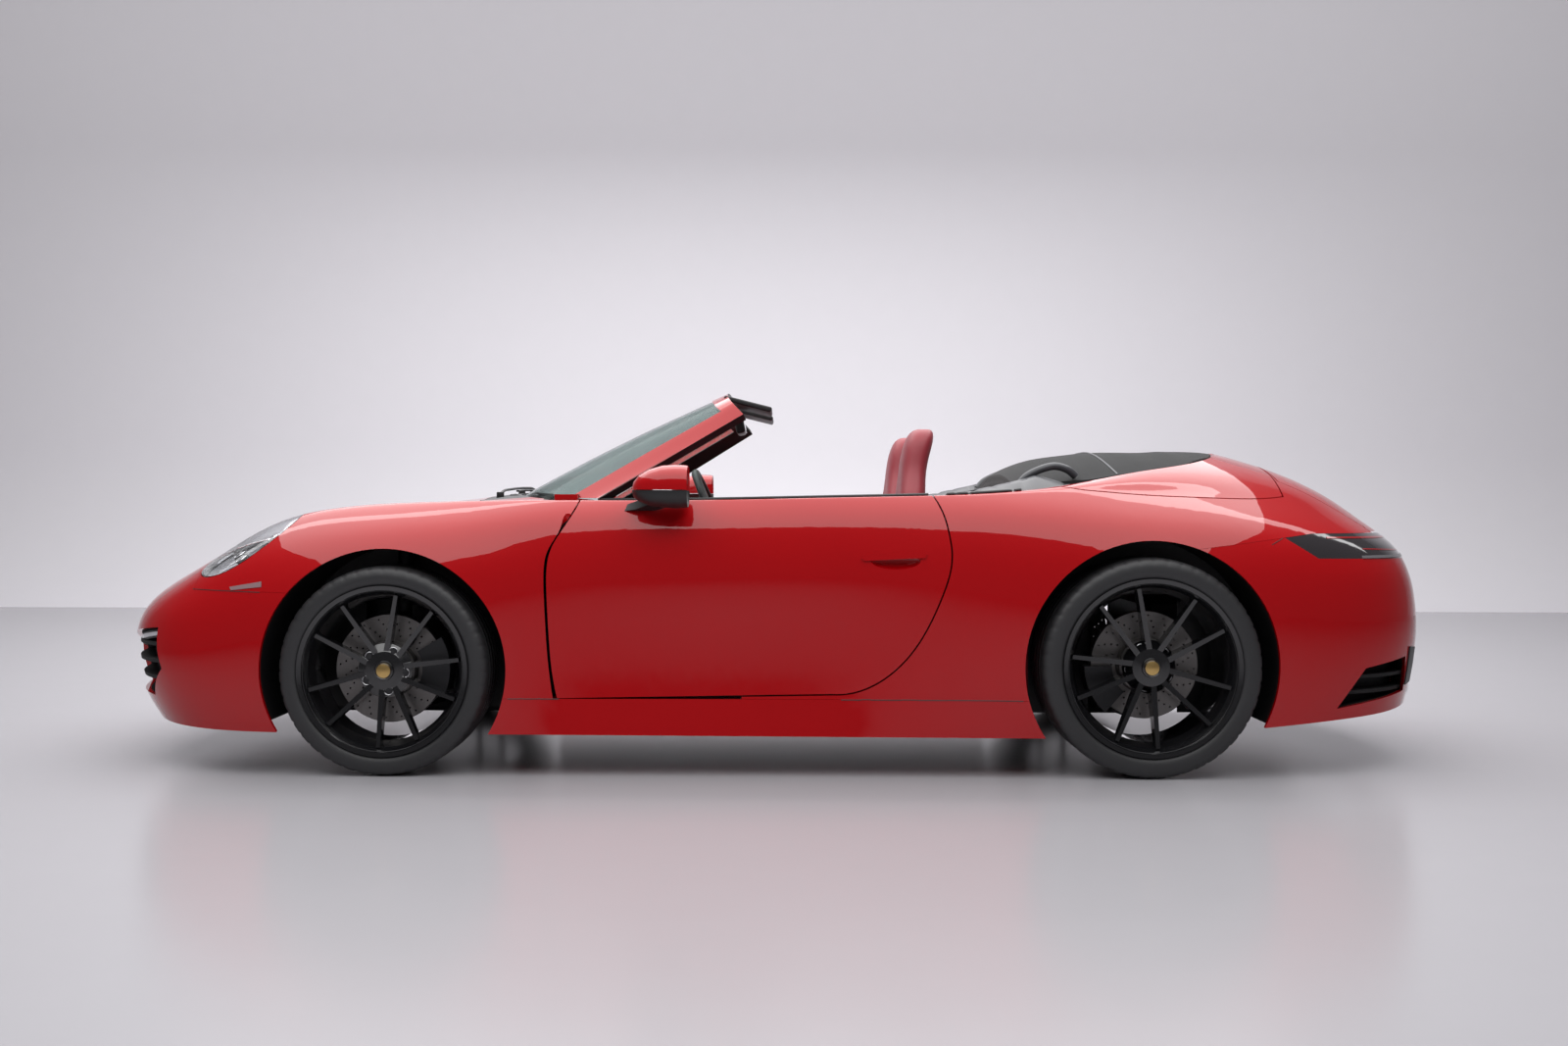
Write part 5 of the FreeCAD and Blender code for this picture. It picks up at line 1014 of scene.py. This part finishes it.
class MakeRoof(bpy.types.Operator):
    """Stretches the roof cloth over its folded stack, with its piping, rolls and side flaps"""
    bl_idname = "car.make_roof"
    bl_label = "Folded roof"

    START_X = 0.800
    END_X = 1.560
    # Place along the car, half width and height of the stack's edge
    EDGE = ((0.796, 0.548, 0.925), (0.890, 0.577, 0.934), (1.040, 0.585, 0.950), (1.230, 0.540, 0.978),
            (1.400, 0.437, 1.008), (1.520, 0.290, 1.034), (1.563, 0.166, 1.048))
    HEM_Z = 0.910
    HEM_OUT = 0.004
    FLAP_X = (0.562, 0.985)
    ROLL = ((0.806, -0.590, 0.938), (0.835, -0.594, 0.968), (0.885, -0.592, 0.992), (0.930, -0.584, 1.001),
            (0.972, -0.579, 0.990), (1.000, -0.574, 0.968))

    def edge_at(self, x):
        """Half width and height of the stack's edge at a place along the car."""
        for (x0, w0, z0), (x1, w1, z1) in zip(self.EDGE, self.EDGE[1:]):
            if x <= x1:
                t = (x - x0) / (x1 - x0)
                return w0 + (w1 - w0) * t, z0 + (z1 - z0) * t
        return self.EDGE[-1][1:]

    def over(self, x, y, lift):
        """A point on the stack, with the soft folds of stretched cloth."""
        half, low = self.edge_at(x)
        spot, _ = from_above(["folded_top"], x, max(-half + 0.003, min(half - 0.003, y)))
        height = spot.z if spot else low
        share = abs(y) / half
        fold = 0.0024 * math.sin((x - 0.80) * 46) * math.sin(math.pi * min(1.0, share)) ** 2
        fold += 0.0016 * math.sin((x - 0.80) * 21 + 5 * share)
        return Vector((x, y, height + lift + fold))

    def cloth(self):
        rows = []
        for i in range(73):
            x = self.START_X + (self.END_X - self.START_X) * i / 72
            half, low = self.edge_at(x)
            hem = [(x, half + self.HEM_OUT, low - 0.006), (x, half + self.HEM_OUT, self.HEM_Z)]
            top = [self.over(x, half * (j / 24.0 - 1), 0.003) for j in range(49)]
            rows.append([Vector((x, -y, z)) for x, y, z in hem[::-1]] + top + [Vector(p) for p in hem])
        first = [Vector((p.x - 0.004, p.y, min(p.z, 0.912))) for p in rows[0]]
        return loft([first] + rows)

    def flap(self):
        """The left side flap between the body's inner edge and the stack."""
        rows = []
        for i in range(30):
            x = self.FLAP_X[0] + (self.FLAP_X[1] - self.FLAP_X[0]) * i / 29
            outer = top_edge(["rear_quarter_left", "top_lid"], x, -0.560)
            if outer is None:
                continue
            outer -= Vector((0, 0.006, 0.004))
            share = max(0.0, min(1.0, (x - 0.60) / 0.26))
            half, low = self.edge_at(max(x, self.START_X))
            inner = Vector((x, -half - self.HEM_OUT, 0.895 + (low + 0.018 - 0.895) * share))
            if x < self.START_X:
                inner.y = -0.600
            sink = max(0.0, (x - 0.86) / 0.125)
            inner.z -= 0.026 * sink
            bulge = Vector((0, 0, (0.012 + 0.016 * share) * (1 - sink)))
            rows.append([outer - Vector((0, 0, 0.010)), outer, outer.lerp(inner, 0.33) + bulge,
                         outer.lerp(inner, 0.7) + bulge * 1.1, inner, inner - Vector((0, 0, 0.030)),
                         inner - Vector((0, 0.004, 0.070))])
        front_edge = [Vector((p.x - 0.006, p.y, min(p.z, 0.872))) for p in rows[0]]
        lip = [p - Vector((0.005, 0, 0.008)) for p in rows[0]]
        return loft([front_edge, lip] + rows)

    def piping(self):
        """The line that crosses the cloth, a little curved."""
        line = []
        for j in range(33):
            share = j / 16.0 - 1
            x = 1.118 + 0.028 * share * share
            half, _ = self.edge_at(x)
            line.append(self.over(x, half * share * 0.995, 0.0045))
        return tube(line, 0.0032, 0, 8)

    def execute(self, context):
        cloth = show("roof_cloth", self.cloth(), "roof_cloth", angle=50)
        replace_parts(cloth, "folded_top")
        show("roof_piping", self.piping(), "piping")
        both("roof_side_roll", tube(self.ROLL, 0.0165, 30, 14, 0.8), "roof_vinyl")
        for piece in both("roof_side_flap", self.flap(), "roof_vinyl"):
            piece.modifiers.new("Thickness", "SOLIDIFY").thickness = 0.003
        return {"FINISHED"}


class MakeSeats(bpy.types.Operator):
    """Upholsters the front seats in leather, with their seams and rails"""
    bl_idname = "car.make_seats"
    bl_label = "Front seats"

    STEPS_ROUND = 28
    # Height, place from the rear axle, half width, thickness and hollow of each section of the backrest
    BACK = ((0.335, -0.792, 0.150, 0.060, 0.00), (0.350, -0.800, 0.215, 0.085, 0.004),
            (0.420, -0.812, 0.238, 0.125, 0.016), (0.520, -0.800, 0.243, 0.135, 0.030),
            (0.640, -0.776, 0.243, 0.135, 0.034), (0.760, -0.755, 0.236, 0.128, 0.030),
            (0.860, -0.742, 0.215, 0.112, 0.020), (0.930, -0.734, 0.172, 0.098, 0.010),
            (0.985, -0.728, 0.136, 0.092, 0.003), (1.040, -0.718, 0.128, 0.096, 0.0),
            (1.090, -0.704, 0.118, 0.098, 0.0), (1.122, -0.695, 0.094, 0.082, 0.0),
            (1.134, -0.690, 0.055, 0.048, 0.0))
    # Place from the rear axle, top, underside, half width and hollow of each section of the cushion
    CUSHION = ((-1.243, 0.418, 0.340, 0.150, 0.0), (-1.236, 0.448, 0.315, 0.205, 0.004),
               (-1.190, 0.463, 0.303, 0.236, 0.012), (-1.080, 0.461, 0.301, 0.244, 0.026),
               (-0.960, 0.448, 0.300, 0.244, 0.034), (-0.870, 0.436, 0.300, 0.238, 0.034),
               (-0.815, 0.424, 0.302, 0.225, 0.020), (-0.800, 0.400, 0.320, 0.180, 0.0))
    SEAM = ((-1.190, 0.4625), (-1.080, 0.4555), (-0.960, 0.4385), (-0.880, 0.425))
    SEAM_OUT = 0.165
    RAIL_OUT = 0.19

    def dip(self, across, half, hollow):
        """How far the middle of a section is drawn in between its side bolsters."""
        return hollow * (1 - (across / half) ** 2) ** 1.5

    def back_rows(self, y):
        """Cross sections of the backrest and its headrest, from the cushion up."""
        rows = []
        for z, x, half, thick, hollow in self.BACK:
            row = []
            for c, s in circle(self.STEPS_ROUND):
                across = squared(c, 0.62) * half
                deep = squared(s, 0.70) * thick / 2
                if s < 0:
                    deep += self.dip(across, half, hollow)
                row.append((rear(x) + deep, y + across, z))
            rows.append(row)
        return rows

    def cushion_rows(self, y):
        """Cross sections of the cushion, from its front edge back."""
        rows = []
        for x, top, low, half, hollow in self.CUSHION:
            row = []
            for c, s in circle(self.STEPS_ROUND):
                across = squared(c, 0.60) * half
                up = squared(s, 0.55) * (top - low) / 2
                if s > 0:
                    up -= self.dip(across, half, hollow)
                row.append((rear(x), y + across, (top + low) / 2 + up))
            rows.append(row)
        return rows

    def execute(self, context):
        for side, sign in SIDES:
            y = sign * SEAT_Y
            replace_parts(pad("seat_back_" + side, self.back_rows(y), "leather"), "seat_" + side)
            pad("seat_cushion_" + side, self.cushion_rows(y), "leather")
            seams = [tube([(rear(x), y + edge * self.SEAM_OUT, z) for x, z in self.SEAM], 0.0022, 20, 6)
                     for edge in (-1, 1)]
            show("seat_stitching_" + side, joined(seams), "thread")
            rails = [block((rear(-1.200), at - 0.012, FLOOR_TOP), (rear(-0.770), at + 0.012, 0.304),
                           0.004) for at in (y - self.RAIL_OUT, y + self.RAIL_OUT)]
            show("seat_rails_" + side, joined(rails), "satin_black")
        return {"FINISHED"}


class MakeRearSeats(bpy.types.Operator):
    """Upholsters the two small rear seats and the trim beside them"""
    bl_idname = "car.make_rear_seats"
    bl_label = "Rear seats"

    SEAT_SPAN = (0.132, 0.468)
    BASE_MIDDLE = 0.292
    BASE_HALF = 0.176
    END_SHRINK = {1.0: 0.62, 0.985: 0.84, 0.93: 0.95}

    def rows(self, low, high, crown):
        """Cross sections of a pad whose upper face swells and whose edges are round."""
        low, high = Vector(low), Vector(high)
        middle, half = (low + high) / 2, (high - low) / 2
        rows = []
        for step in (-1.0, -0.985, -0.93, -0.80, -0.45, 0.0, 0.45, 0.80, 0.93, 0.985, 1.0):
            shrink = self.END_SHRINK.get(abs(step), 1.0)
            row = []
            for c, s in circle(28):
                u, v = squared(c, 0.45) * shrink, squared(s, 0.45) * shrink
                swell = crown * (1 - step * step) * (1 - min(1.0, abs(u)) ** 2) if v > 0.3 else 0.0
                row.append((middle.x + half.x * u, middle.y + half.y * step,
                            middle.z + half.z * v + swell))
            rows.append(row)
        return rows

    def execute(self, context):
        cushions, base = [], []
        for side, sign in SIDES:
            low, high = sorted(sign * y for y in self.SEAT_SPAN)
            seat = self.rows((rear(-0.598), low, 0.392), (rear(-0.440), high, 0.462), 0.007)
            back = self.rows((rear(-0.448), low, 0.440), (rear(-0.364), high, 0.798), 0.0)
            cushions.append(pad("rear_cushion_" + side, seat, "leather"))
            pad("rear_backrest_" + side, back, "leather")
            y = sign * self.BASE_MIDDLE
            base.append(block((rear(-0.594), y - self.BASE_HALF, 0.157),
                              (rear(-0.364), y + self.BASE_HALF, 0.392), 0.006))
        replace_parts(cushions[0], "rear_seats")
        base.append(block((rear(-0.594), -0.126, 0.334), (rear(-0.364), 0.126, 0.393), 0.006))
        show("rear_seat_base", joined(base), "carpet")
        rest = block((0.588, -0.704, 0.160), (0.826, -0.482, 0.585), 0.022, 4)
        both("rear_side_rest", rest, "leather")
        panel = block((0.566, -0.711, 0.330), (0.768, -0.699, 0.872), 0.005, 3)
        both("rear_side_panel", panel, "black_leather")
        return {"FINISHED"}


class MakeDoorTrim(bpy.types.Operator):
    """Lines the doors with leather, an armrest, a pull handle and a loudspeaker cover"""
    bl_idname = "car.make_door_trim"
    bl_label = "Door trim"

    PLANE = -0.7122
    STATIONS = [-0.655 + 0.0205 * i for i in range(58) if -0.655 + 0.0205 * i < 0.505]
    LINING_END = 0.47
    LINING_TOP = 0.795
    # Height and share of the armrest's reach, from its underside up
    ARMREST = ((0.555, 0.8), (0.565, 0.97), (0.580, 1.0), (0.598, 1.0), (0.608, 0.93), (0.614, 0.75))
    # Height and thickness of the roll along the door's top, below its upper edge
    ROLL = ((0.797, 0.009), (0.803, 0.013), (0.820, 0.0145), (0.845, 0.0165), (0.865, 0.0175))
    # Place along the car, distance from the door's plane, and height
    PULL = ((-0.205, 0.006, 0.690), (-0.195, 0.030, 0.694), (-0.120, 0.038, 0.704), (-0.040, 0.038, 0.710),
            (0.035, 0.030, 0.712), (0.045, 0.006, 0.712))
    LEVER = ((-0.330, 0.012, 0.742), (-0.300, 0.021, 0.742), (-0.262, 0.019, 0.739))
    SPEAKER = (-0.500, 0.440)

    def reach(self, x):
        """Lowest and highest place where the left door has an inner face."""
        found = []
        for i in range(130):
            z = 0.25 + 0.005 * i
            spot, _ = touch(["door_left"], (x, -0.4, z), (0, -1, 0))
            if spot is not None and spot.y > -0.715:
                found.append(z)
        return (found[0], found[-1]) if found else (None, None)

    def panel(self, stations, shape):
        """A closed lining between two heights; shape gives its height and thickness at a station."""
        rows = []
        for x in stations:
            low, high = self.reach(x)
            if low is None:
                continue
            steps = shape(x, low + 0.030, min(high, 0.895) - 0.010)
            steps = [(steps[0][0], 0)] + steps + [(steps[-1][0], 0)]
            rows.append([(x, self.PLANE + thick, z) for z, thick in steps])
        return loft(rows, closed_rows=True, caps=True)

    def fade(self, x, start, end):
        """Rises softly from 0 at start to 1 at end."""
        share = max(0.0, min(1.0, (x - start) / (end - start)))
        return share * share * (3 - 2 * share)

    def lower_steps(self, x, low, high):
        """The lining and its armrest, which runs out towards both ends of the door."""
        rest = 0.015 + 0.040 * self.fade(x, -0.24, -0.12) * self.fade(x, 0.40, 0.30)
        tall = self.LINING_TOP - low
        steps = [(low + tall * share, thick) for share, thick in (
            (0.0, 0.003), (0.03, 0.009), (0.10, 0.013), (0.30, 0.014), (0.44, 0.014))]
        for z, share in self.ARMREST:
            steps.append((max(z, low + tall * 0.46 + (z - self.ARMREST[0][0]) * 0.5), rest * share))
        last = steps[-1][0]
        return steps + [(last + 0.010, 0.014), (max(last + 0.02, 0.66), 0.011),
                        (max(last + 0.03, 0.75), 0.011), (self.LINING_TOP, 0.009)]

    def upper_steps(self, x, low, high):
        return list(self.ROLL) + [(high - 0.012, 0.0165), (high - 0.003, 0.011), (high, 0.004)]

    def along(self, line):
        return [(x, self.PLANE + out, z) for x, out, z in line]

    def speaker(self):
        """A round cover with rings of small dots."""
        x, z = self.SPEAKER
        parts = [disc((x, self.PLANE + 0.0125, z), (0, 1, 0), 0.078, 0.005, 48, 0.002)]
        for k in range(6):
            for c, s in circle(max(1, 6 * k)):
                parts.append(disc((x + 0.0115 * k * c, self.PLANE + 0.0175, z + 0.0115 * k * s), (0, 1, 0),
                                  0.0036, 0.0008, 8))
        return joined(parts)

    def execute(self, context):
        lining = self.panel([x for x in self.STATIONS if x < self.LINING_END], self.lower_steps)
        both("door_lining", lining, "leather", DOORS, 50)
        both("door_top_roll", self.panel(self.STATIONS, self.upper_steps), "black_leather", DOORS, 50)
        both("door_pull", tube(self.along(self.PULL), 0.0085, 40, 12), "gloss_black", DOORS)
        both("door_speaker", self.speaker(), "satin_black", DOORS)
        both("door_lever", tube(self.along(self.LEVER), 0.006, 12, 10, 0.7), "bright_steel", DOORS)
        return {"FINISHED"}


class MakeCabin(bpy.types.Operator):
    """Adds vents, dials, screen, switches, gear lever, airbag boss, pedals and mats"""
    bl_idname = "car.make_cabin"
    bl_label = "Cabin details"

    DASH_X = -0.3735
    # Place across the car, height, half width, half height and slats of each vent
    VENTS = ((-0.615, 0.715, 0.052, 0.026, 4), (0.615, 0.715, 0.052, 0.026, 4),
             (-0.055, 0.728, 0.046, 0.020, 3), (0.055, 0.728, 0.046, 0.020, 3))
    # Place across from the steering column, and radius of each dial
    DIALS = ((0.0, 0.036), (-0.066, 0.031), (0.066, 0.031), (-0.124, 0.026), (0.124, 0.026))
    DIAL_FACE = Vector((0.843, 0, -0.538))
    DIAL_UP = Vector((0.538, 0, 0.843))
    ACROSS = Vector((0, 1, 0))
    LEVER_X = -0.190
    WHEEL_LEAN = math.radians(24)
    # Place across from the steering column, half width and height of each pedal
    PEDALS = ((-0.105, 0.030, 0.055), (-0.010, 0.036, 0.055), (0.110, 0.022, 0.125))

    def vent(self, y, z, wide, tall, slats):
        """A vent on the rear face of the dash: a frame round level slats."""
        x = self.DASH_X
        parts = []
        for side in (-1, 1):
            at, level = y + side * wide, z + side * tall
            parts.append(block((x, at - 0.004, z - tall), (x + 0.009, at + 0.004, z + tall), 0.0015))
            parts.append(block((x, y - wide, level - 0.004), (x + 0.009, y + wide, level + 0.004), 0.0015))
        for k in range(slats):
            at = z + tall * (2 * (k + 1) / (slats + 1) - 1)
            parts.append(block((x - 0.001, y - wide, at - 0.0016), (x + 0.006, y + wide, at + 0.0016),
                               0.0008))
        parts.append(block((x - 0.002, y - wide, z - tall), (x + 0.0005, y + wide, z + tall)))
        return parts

    def dials(self):
        """Five round dials under the instrument hood, each with a rim, ticks and a hand."""
        rims, faces, marks = [], [], []
        for out, radius in self.DIALS:
            centre = Vector((-0.3685, -SEAT_Y + out, 0.8345)) + self.DIAL_FACE * 0.001
            rims.append(hoop(centre + self.DIAL_FACE * 0.002, self.ACROSS, self.DIAL_UP,
                             radius, 0.0018, 48))
            faces.append(disc(centre, self.DIAL_FACE, radius, 0.0015, 40))
            ticks = centre + self.DIAL_FACE * 0.0022
            for k in range(17):
                a = math.radians(-120 + 15 * k) + math.pi / 2
                way = self.ACROSS * math.cos(a) + self.DIAL_UP * math.sin(a)
                marks.append(tube([ticks + way * radius * 0.78, ticks + way * radius * 0.92], 0.0006, 0, 4))
            hub = centre + self.DIAL_FACE * 0.003
            hand = (self.ACROSS + self.DIAL_UP) * -0.7
            marks.append(tube([hub, hub + hand * radius * 0.8], 0.0009, 0, 4))
        show("dial_rims", joined(rims), "bright_steel")
        show("dial_faces", joined(faces), "satin_black", angle=None)
        show("dial_marks", joined(marks), "white_lens", angle=None)

    def gear_lever(self):
        """A gathered leather boot and a turned knob above it."""
        boot = loft([[(self.LEVER_X + r * c, r * s, z) for c, s in circle(24)] for z, r in (
            (0.497, 0.052), (0.512, 0.044), (0.530, 0.030), (0.548, 0.019), (0.560, 0.012))],
            closed_rows=True, caps=True)
        show("gear_boot", boot, "black_leather", angle=60)
        knob = lathe([(-0.034, 0.0005), (-0.033, 0.010), (-0.026, 0.018), (-0.012, 0.0215), (0.004, 0.021),
                      (0.020, 0.015), (0.028, 0.0095), (0.030, 0.0005)], segments=32)
        for point in knob.vertices:
            x, y, z = point.co
            point.co = (x + self.LEVER_X, z, 0.592 + y)
        show("gear_knob", knob, "black_leather")

    def airbag_boss(self):
        """The padded middle of the steering wheel, square to its leaning column."""
        boss = lathe([(0.0, 0.0005), (0.0, 0.058), (-0.012, 0.060), (-0.022, 0.052), (-0.028, 0.036),
                      (-0.030, 0.0005)], segments=48)
        axis = Vector((math.cos(self.WHEEL_LEAN), 0, math.sin(self.WHEEL_LEAN)))
        rise = Vector((-math.sin(self.WHEEL_LEAN), 0, math.cos(self.WHEEL_LEAN)))
        hub = Vector((front(1.040), -SEAT_Y, 0.812)) + axis * 0.019
        for point in boss.vertices:
            x, y, z = point.co
            point.co = hub + axis * -y + rise * z * 0.86 + Vector((0, x, 0))
        show("airbag_boss", boss, "black_leather", "steering_wheel")

    def pedals(self):
        """Three pedals hanging on their arms."""
        parts, arms = [], []
        for out, half, tall in self.PEDALS:
            y = -SEAT_Y + out
            parts.append(block((-0.615, y - half, 0.270), (-0.603, y + half, 0.270 + tall), 0.004))
            arms.append(tube([(-0.609, y, 0.320), (-0.640, y, 0.430), (-0.700, y, 0.580)], 0.007, 0, 8))
        show("pedals", joined(parts + arms), "satin_black")

    def execute(self, context):
        vents = [part for vent in self.VENTS for part in self.vent(*vent)]
        show("dash_vents", joined(vents), "satin_black")
        self.dials()
        screen = block((-0.371, -0.088, 0.602), (-0.3655, 0.088, 0.694), 0.002, 3)
        show("dash_screen", screen, "gloss_black")
        keys = [block((-0.371, 0.025 * k - 0.007, 0.586), (-0.364, 0.025 * k + 0.007, 0.594), 0.0015)
                for k in range(-3, 4)]
        show("dash_keys", joined(keys), "satin_black")
        seams = [tube([(-0.4335, start, 0.8240), (-0.4335, end, 0.8242)], 0.0013, 0, 6)
                 for start, end in ((-0.680, -0.552), (-0.192, 0.680))]
        show("dash_seam", joined(seams), "thread", angle=None)
        glove = block((-0.3715, 0.235, 0.610), (-0.3655, 0.560, 0.672), 0.003, 3)
        show("glove_box_lid", glove, "black_leather")
        self.gear_lever()
        lid = block((0.055, -0.100, 0.4565), (0.350, 0.100, 0.4905), 0.012, 4)
        show("console_lid", lid, "leather")
        self.airbag_boss()
        mats = [block((-0.640, y - 0.190, FLOOR_TOP), (-0.115, y + 0.190, 0.164), 0.003)
                for y in (-SEAT_Y, SEAT_Y)]
        show("floor_mats", joined(mats), "carpet")
        self.pedals()
        return {"FINISHED"}


class MakeStage(bpy.types.Operator):
    """Adds the studio floor and wall, the lights and the camera"""
    bl_idname = "car.make_stage"
    bl_label = "Studio"

    HALF_LONG = 16.0
    NEAR_Y = -14.0
    BEND_Y = 7.4
    BEND_RADIUS = 1.4
    WALL_TOP = 9.0
    FLOOR_DROP = 0.0005
    # Name, place, size, power and what each light points at
    LIGHTS = (("ceiling", (-0.3, -0.1, 4.1), (7.8, 12.6), 735, (-0.3, -0.1, 0)),
              ("wall_wash", (0, 2.6, 7.2), (20.0, 2.5), 450, (0, 8.8, 1.0)))
    REFLECTED_LEVEL = 0.13
    SEEN_LEVEL = 1.0
    CAMERA_PLACE = (0.0165, -6.117, 0.871)
    CAMERA_ROLL = math.radians(-0.2)
    CAMERA_SHIFT = -0.0122
    SENSOR_WIDTH = 36.0

    def backcloth(self, name, line, colour, rough):
        """A part of the studio drawn out along X from its line of (y, z)."""
        mesh = loft([[(x, y, z - self.FLOOR_DROP) for y, z in line]
                     for x in (-self.HALF_LONG, self.HALF_LONG)])
        mesh.materials.append(finish(name, colour, rough, scale=60.0, bump=0.02, depth=0.0006, tone=0.01))
        piece = bpy.data.objects.new(name.lower().replace(" ", "_"), mesh)
        bpy.context.scene.collection.objects.link(piece)

    def floor_and_wall(self, settings):
        """A floor that curves up into a wall behind the car."""
        bend = []
        for i in range(13):
            a = math.pi / 2 * i / 12
            bend.append((self.BEND_Y + self.BEND_RADIUS * math.sin(a),
                         self.BEND_RADIUS * (1 - math.cos(a))))
        self.backcloth("Studio floor", [(self.NEAR_Y, 0), bend[0]], settings.floor, 0.22)
        self.backcloth("Studio wall", bend + [(bend[-1][0], self.WALL_TOP)], settings.backdrop, 0.9)

    def world(self, settings):
        """A pale surround for the camera and a dimmer one for what the car reflects."""
        world = bpy.data.worlds.new("Studio light")
        world.use_nodes = True
        tree = world.node_tree
        back = tree.nodes["Background"]
        back.inputs["Color"].default_value = (*settings.backdrop, 1)
        path = tree.nodes.new("ShaderNodeLightPath")
        level = tree.nodes.new("ShaderNodeMix")
        level.inputs[MIX_FLOAT_A].default_value = self.REFLECTED_LEVEL
        level.inputs[MIX_FLOAT_B].default_value = self.SEEN_LEVEL
        seen = math_node(tree, "MAXIMUM", path.outputs["Is Camera Ray"],
                         path.outputs["Is Transmission Ray"])
        tree.links.new(seen, level.inputs[MIX_FACTOR])
        tree.links.new(level.outputs[MIXED_FLOAT], back.inputs["Strength"])
        return world

    def light(self, name, place, size, power, aim):
        lamp = bpy.data.lights.new(name, "AREA")
        lamp.shape = "RECTANGLE"
        lamp.size, lamp.size_y = size
        lamp.energy = power
        holder = bpy.data.objects.new(name, lamp)
        bpy.context.scene.collection.objects.link(holder)
        holder.location = place
        holder.rotation_euler = (Vector(aim) - Vector(place)).to_track_quat("-Z", "Y").to_euler()

    def execute(self, context):
        settings = context.scene.studio_settings
        self.floor_and_wall(settings)
        context.scene.world = self.world(settings)
        for light in self.LIGHTS:
            self.light(*light)
        lens = bpy.data.cameras.new("Camera")
        lens.lens = settings.lens
        lens.sensor_width = self.SENSOR_WIDTH
        lens.shift_y = self.CAMERA_SHIFT
        lens.clip_end = 100.0
        camera = bpy.data.objects.new("Camera", lens)
        context.scene.collection.objects.link(camera)
        camera.location = self.CAMERA_PLACE
        camera.rotation_euler = (math.radians(90), self.CAMERA_ROLL, 0)
        context.scene.camera = camera
        context.scene.view_settings.view_transform = "Standard"
        return {"FINISHED"}


class CarPanel(bpy.types.Panel):
    """Lists the car's pieces and settings in the sidebar"""
    bl_idname = "VIEW3D_PT_convertible"
    bl_label = "Convertible"
    bl_space_type = "VIEW_3D"
    bl_region_type = "UI"
    bl_category = "Car"

    def draw(self, context):
        for name, _ in SETTINGS:
            group = getattr(context.scene, name)
            for label in group.__annotations__:
                self.layout.prop(group, label)
        for step in STEPS:
            self.layout.operator(step.bl_idname)


STEPS = (MakeBody, MakeWheels, MakeLamps, MakeTrim, MakeScreenTrim, MakeMirrors, MakeNose, MakeRoof,
         MakeSeats, MakeRearSeats, MakeDoorTrim, MakeCabin, MakeStage)
SETTINGS = (("car_finish", CarFinish), ("wheel_sizes", WheelSizes), ("studio_settings", StudioSettings))
CLASSES = tuple(kind for _, kind in SETTINGS) + STEPS + (CarPanel,)


def register():
    for kind in CLASSES:
        bpy.utils.register_class(kind)
    for name, kind in SETTINGS:
        setattr(bpy.types.Scene, name, bpy.props.PointerProperty(type=kind))


def unregister():
    for name, _ in SETTINGS:
        delattr(bpy.types.Scene, name)
    for kind in reversed(CLASSES):
        bpy.utils.unregister_class(kind)


def main():
    register()
    for step in STEPS:
        space, action = step.bl_idname.split(".")
        getattr(getattr(bpy.ops, space), action)()


if __name__ == "__main__":
    main()
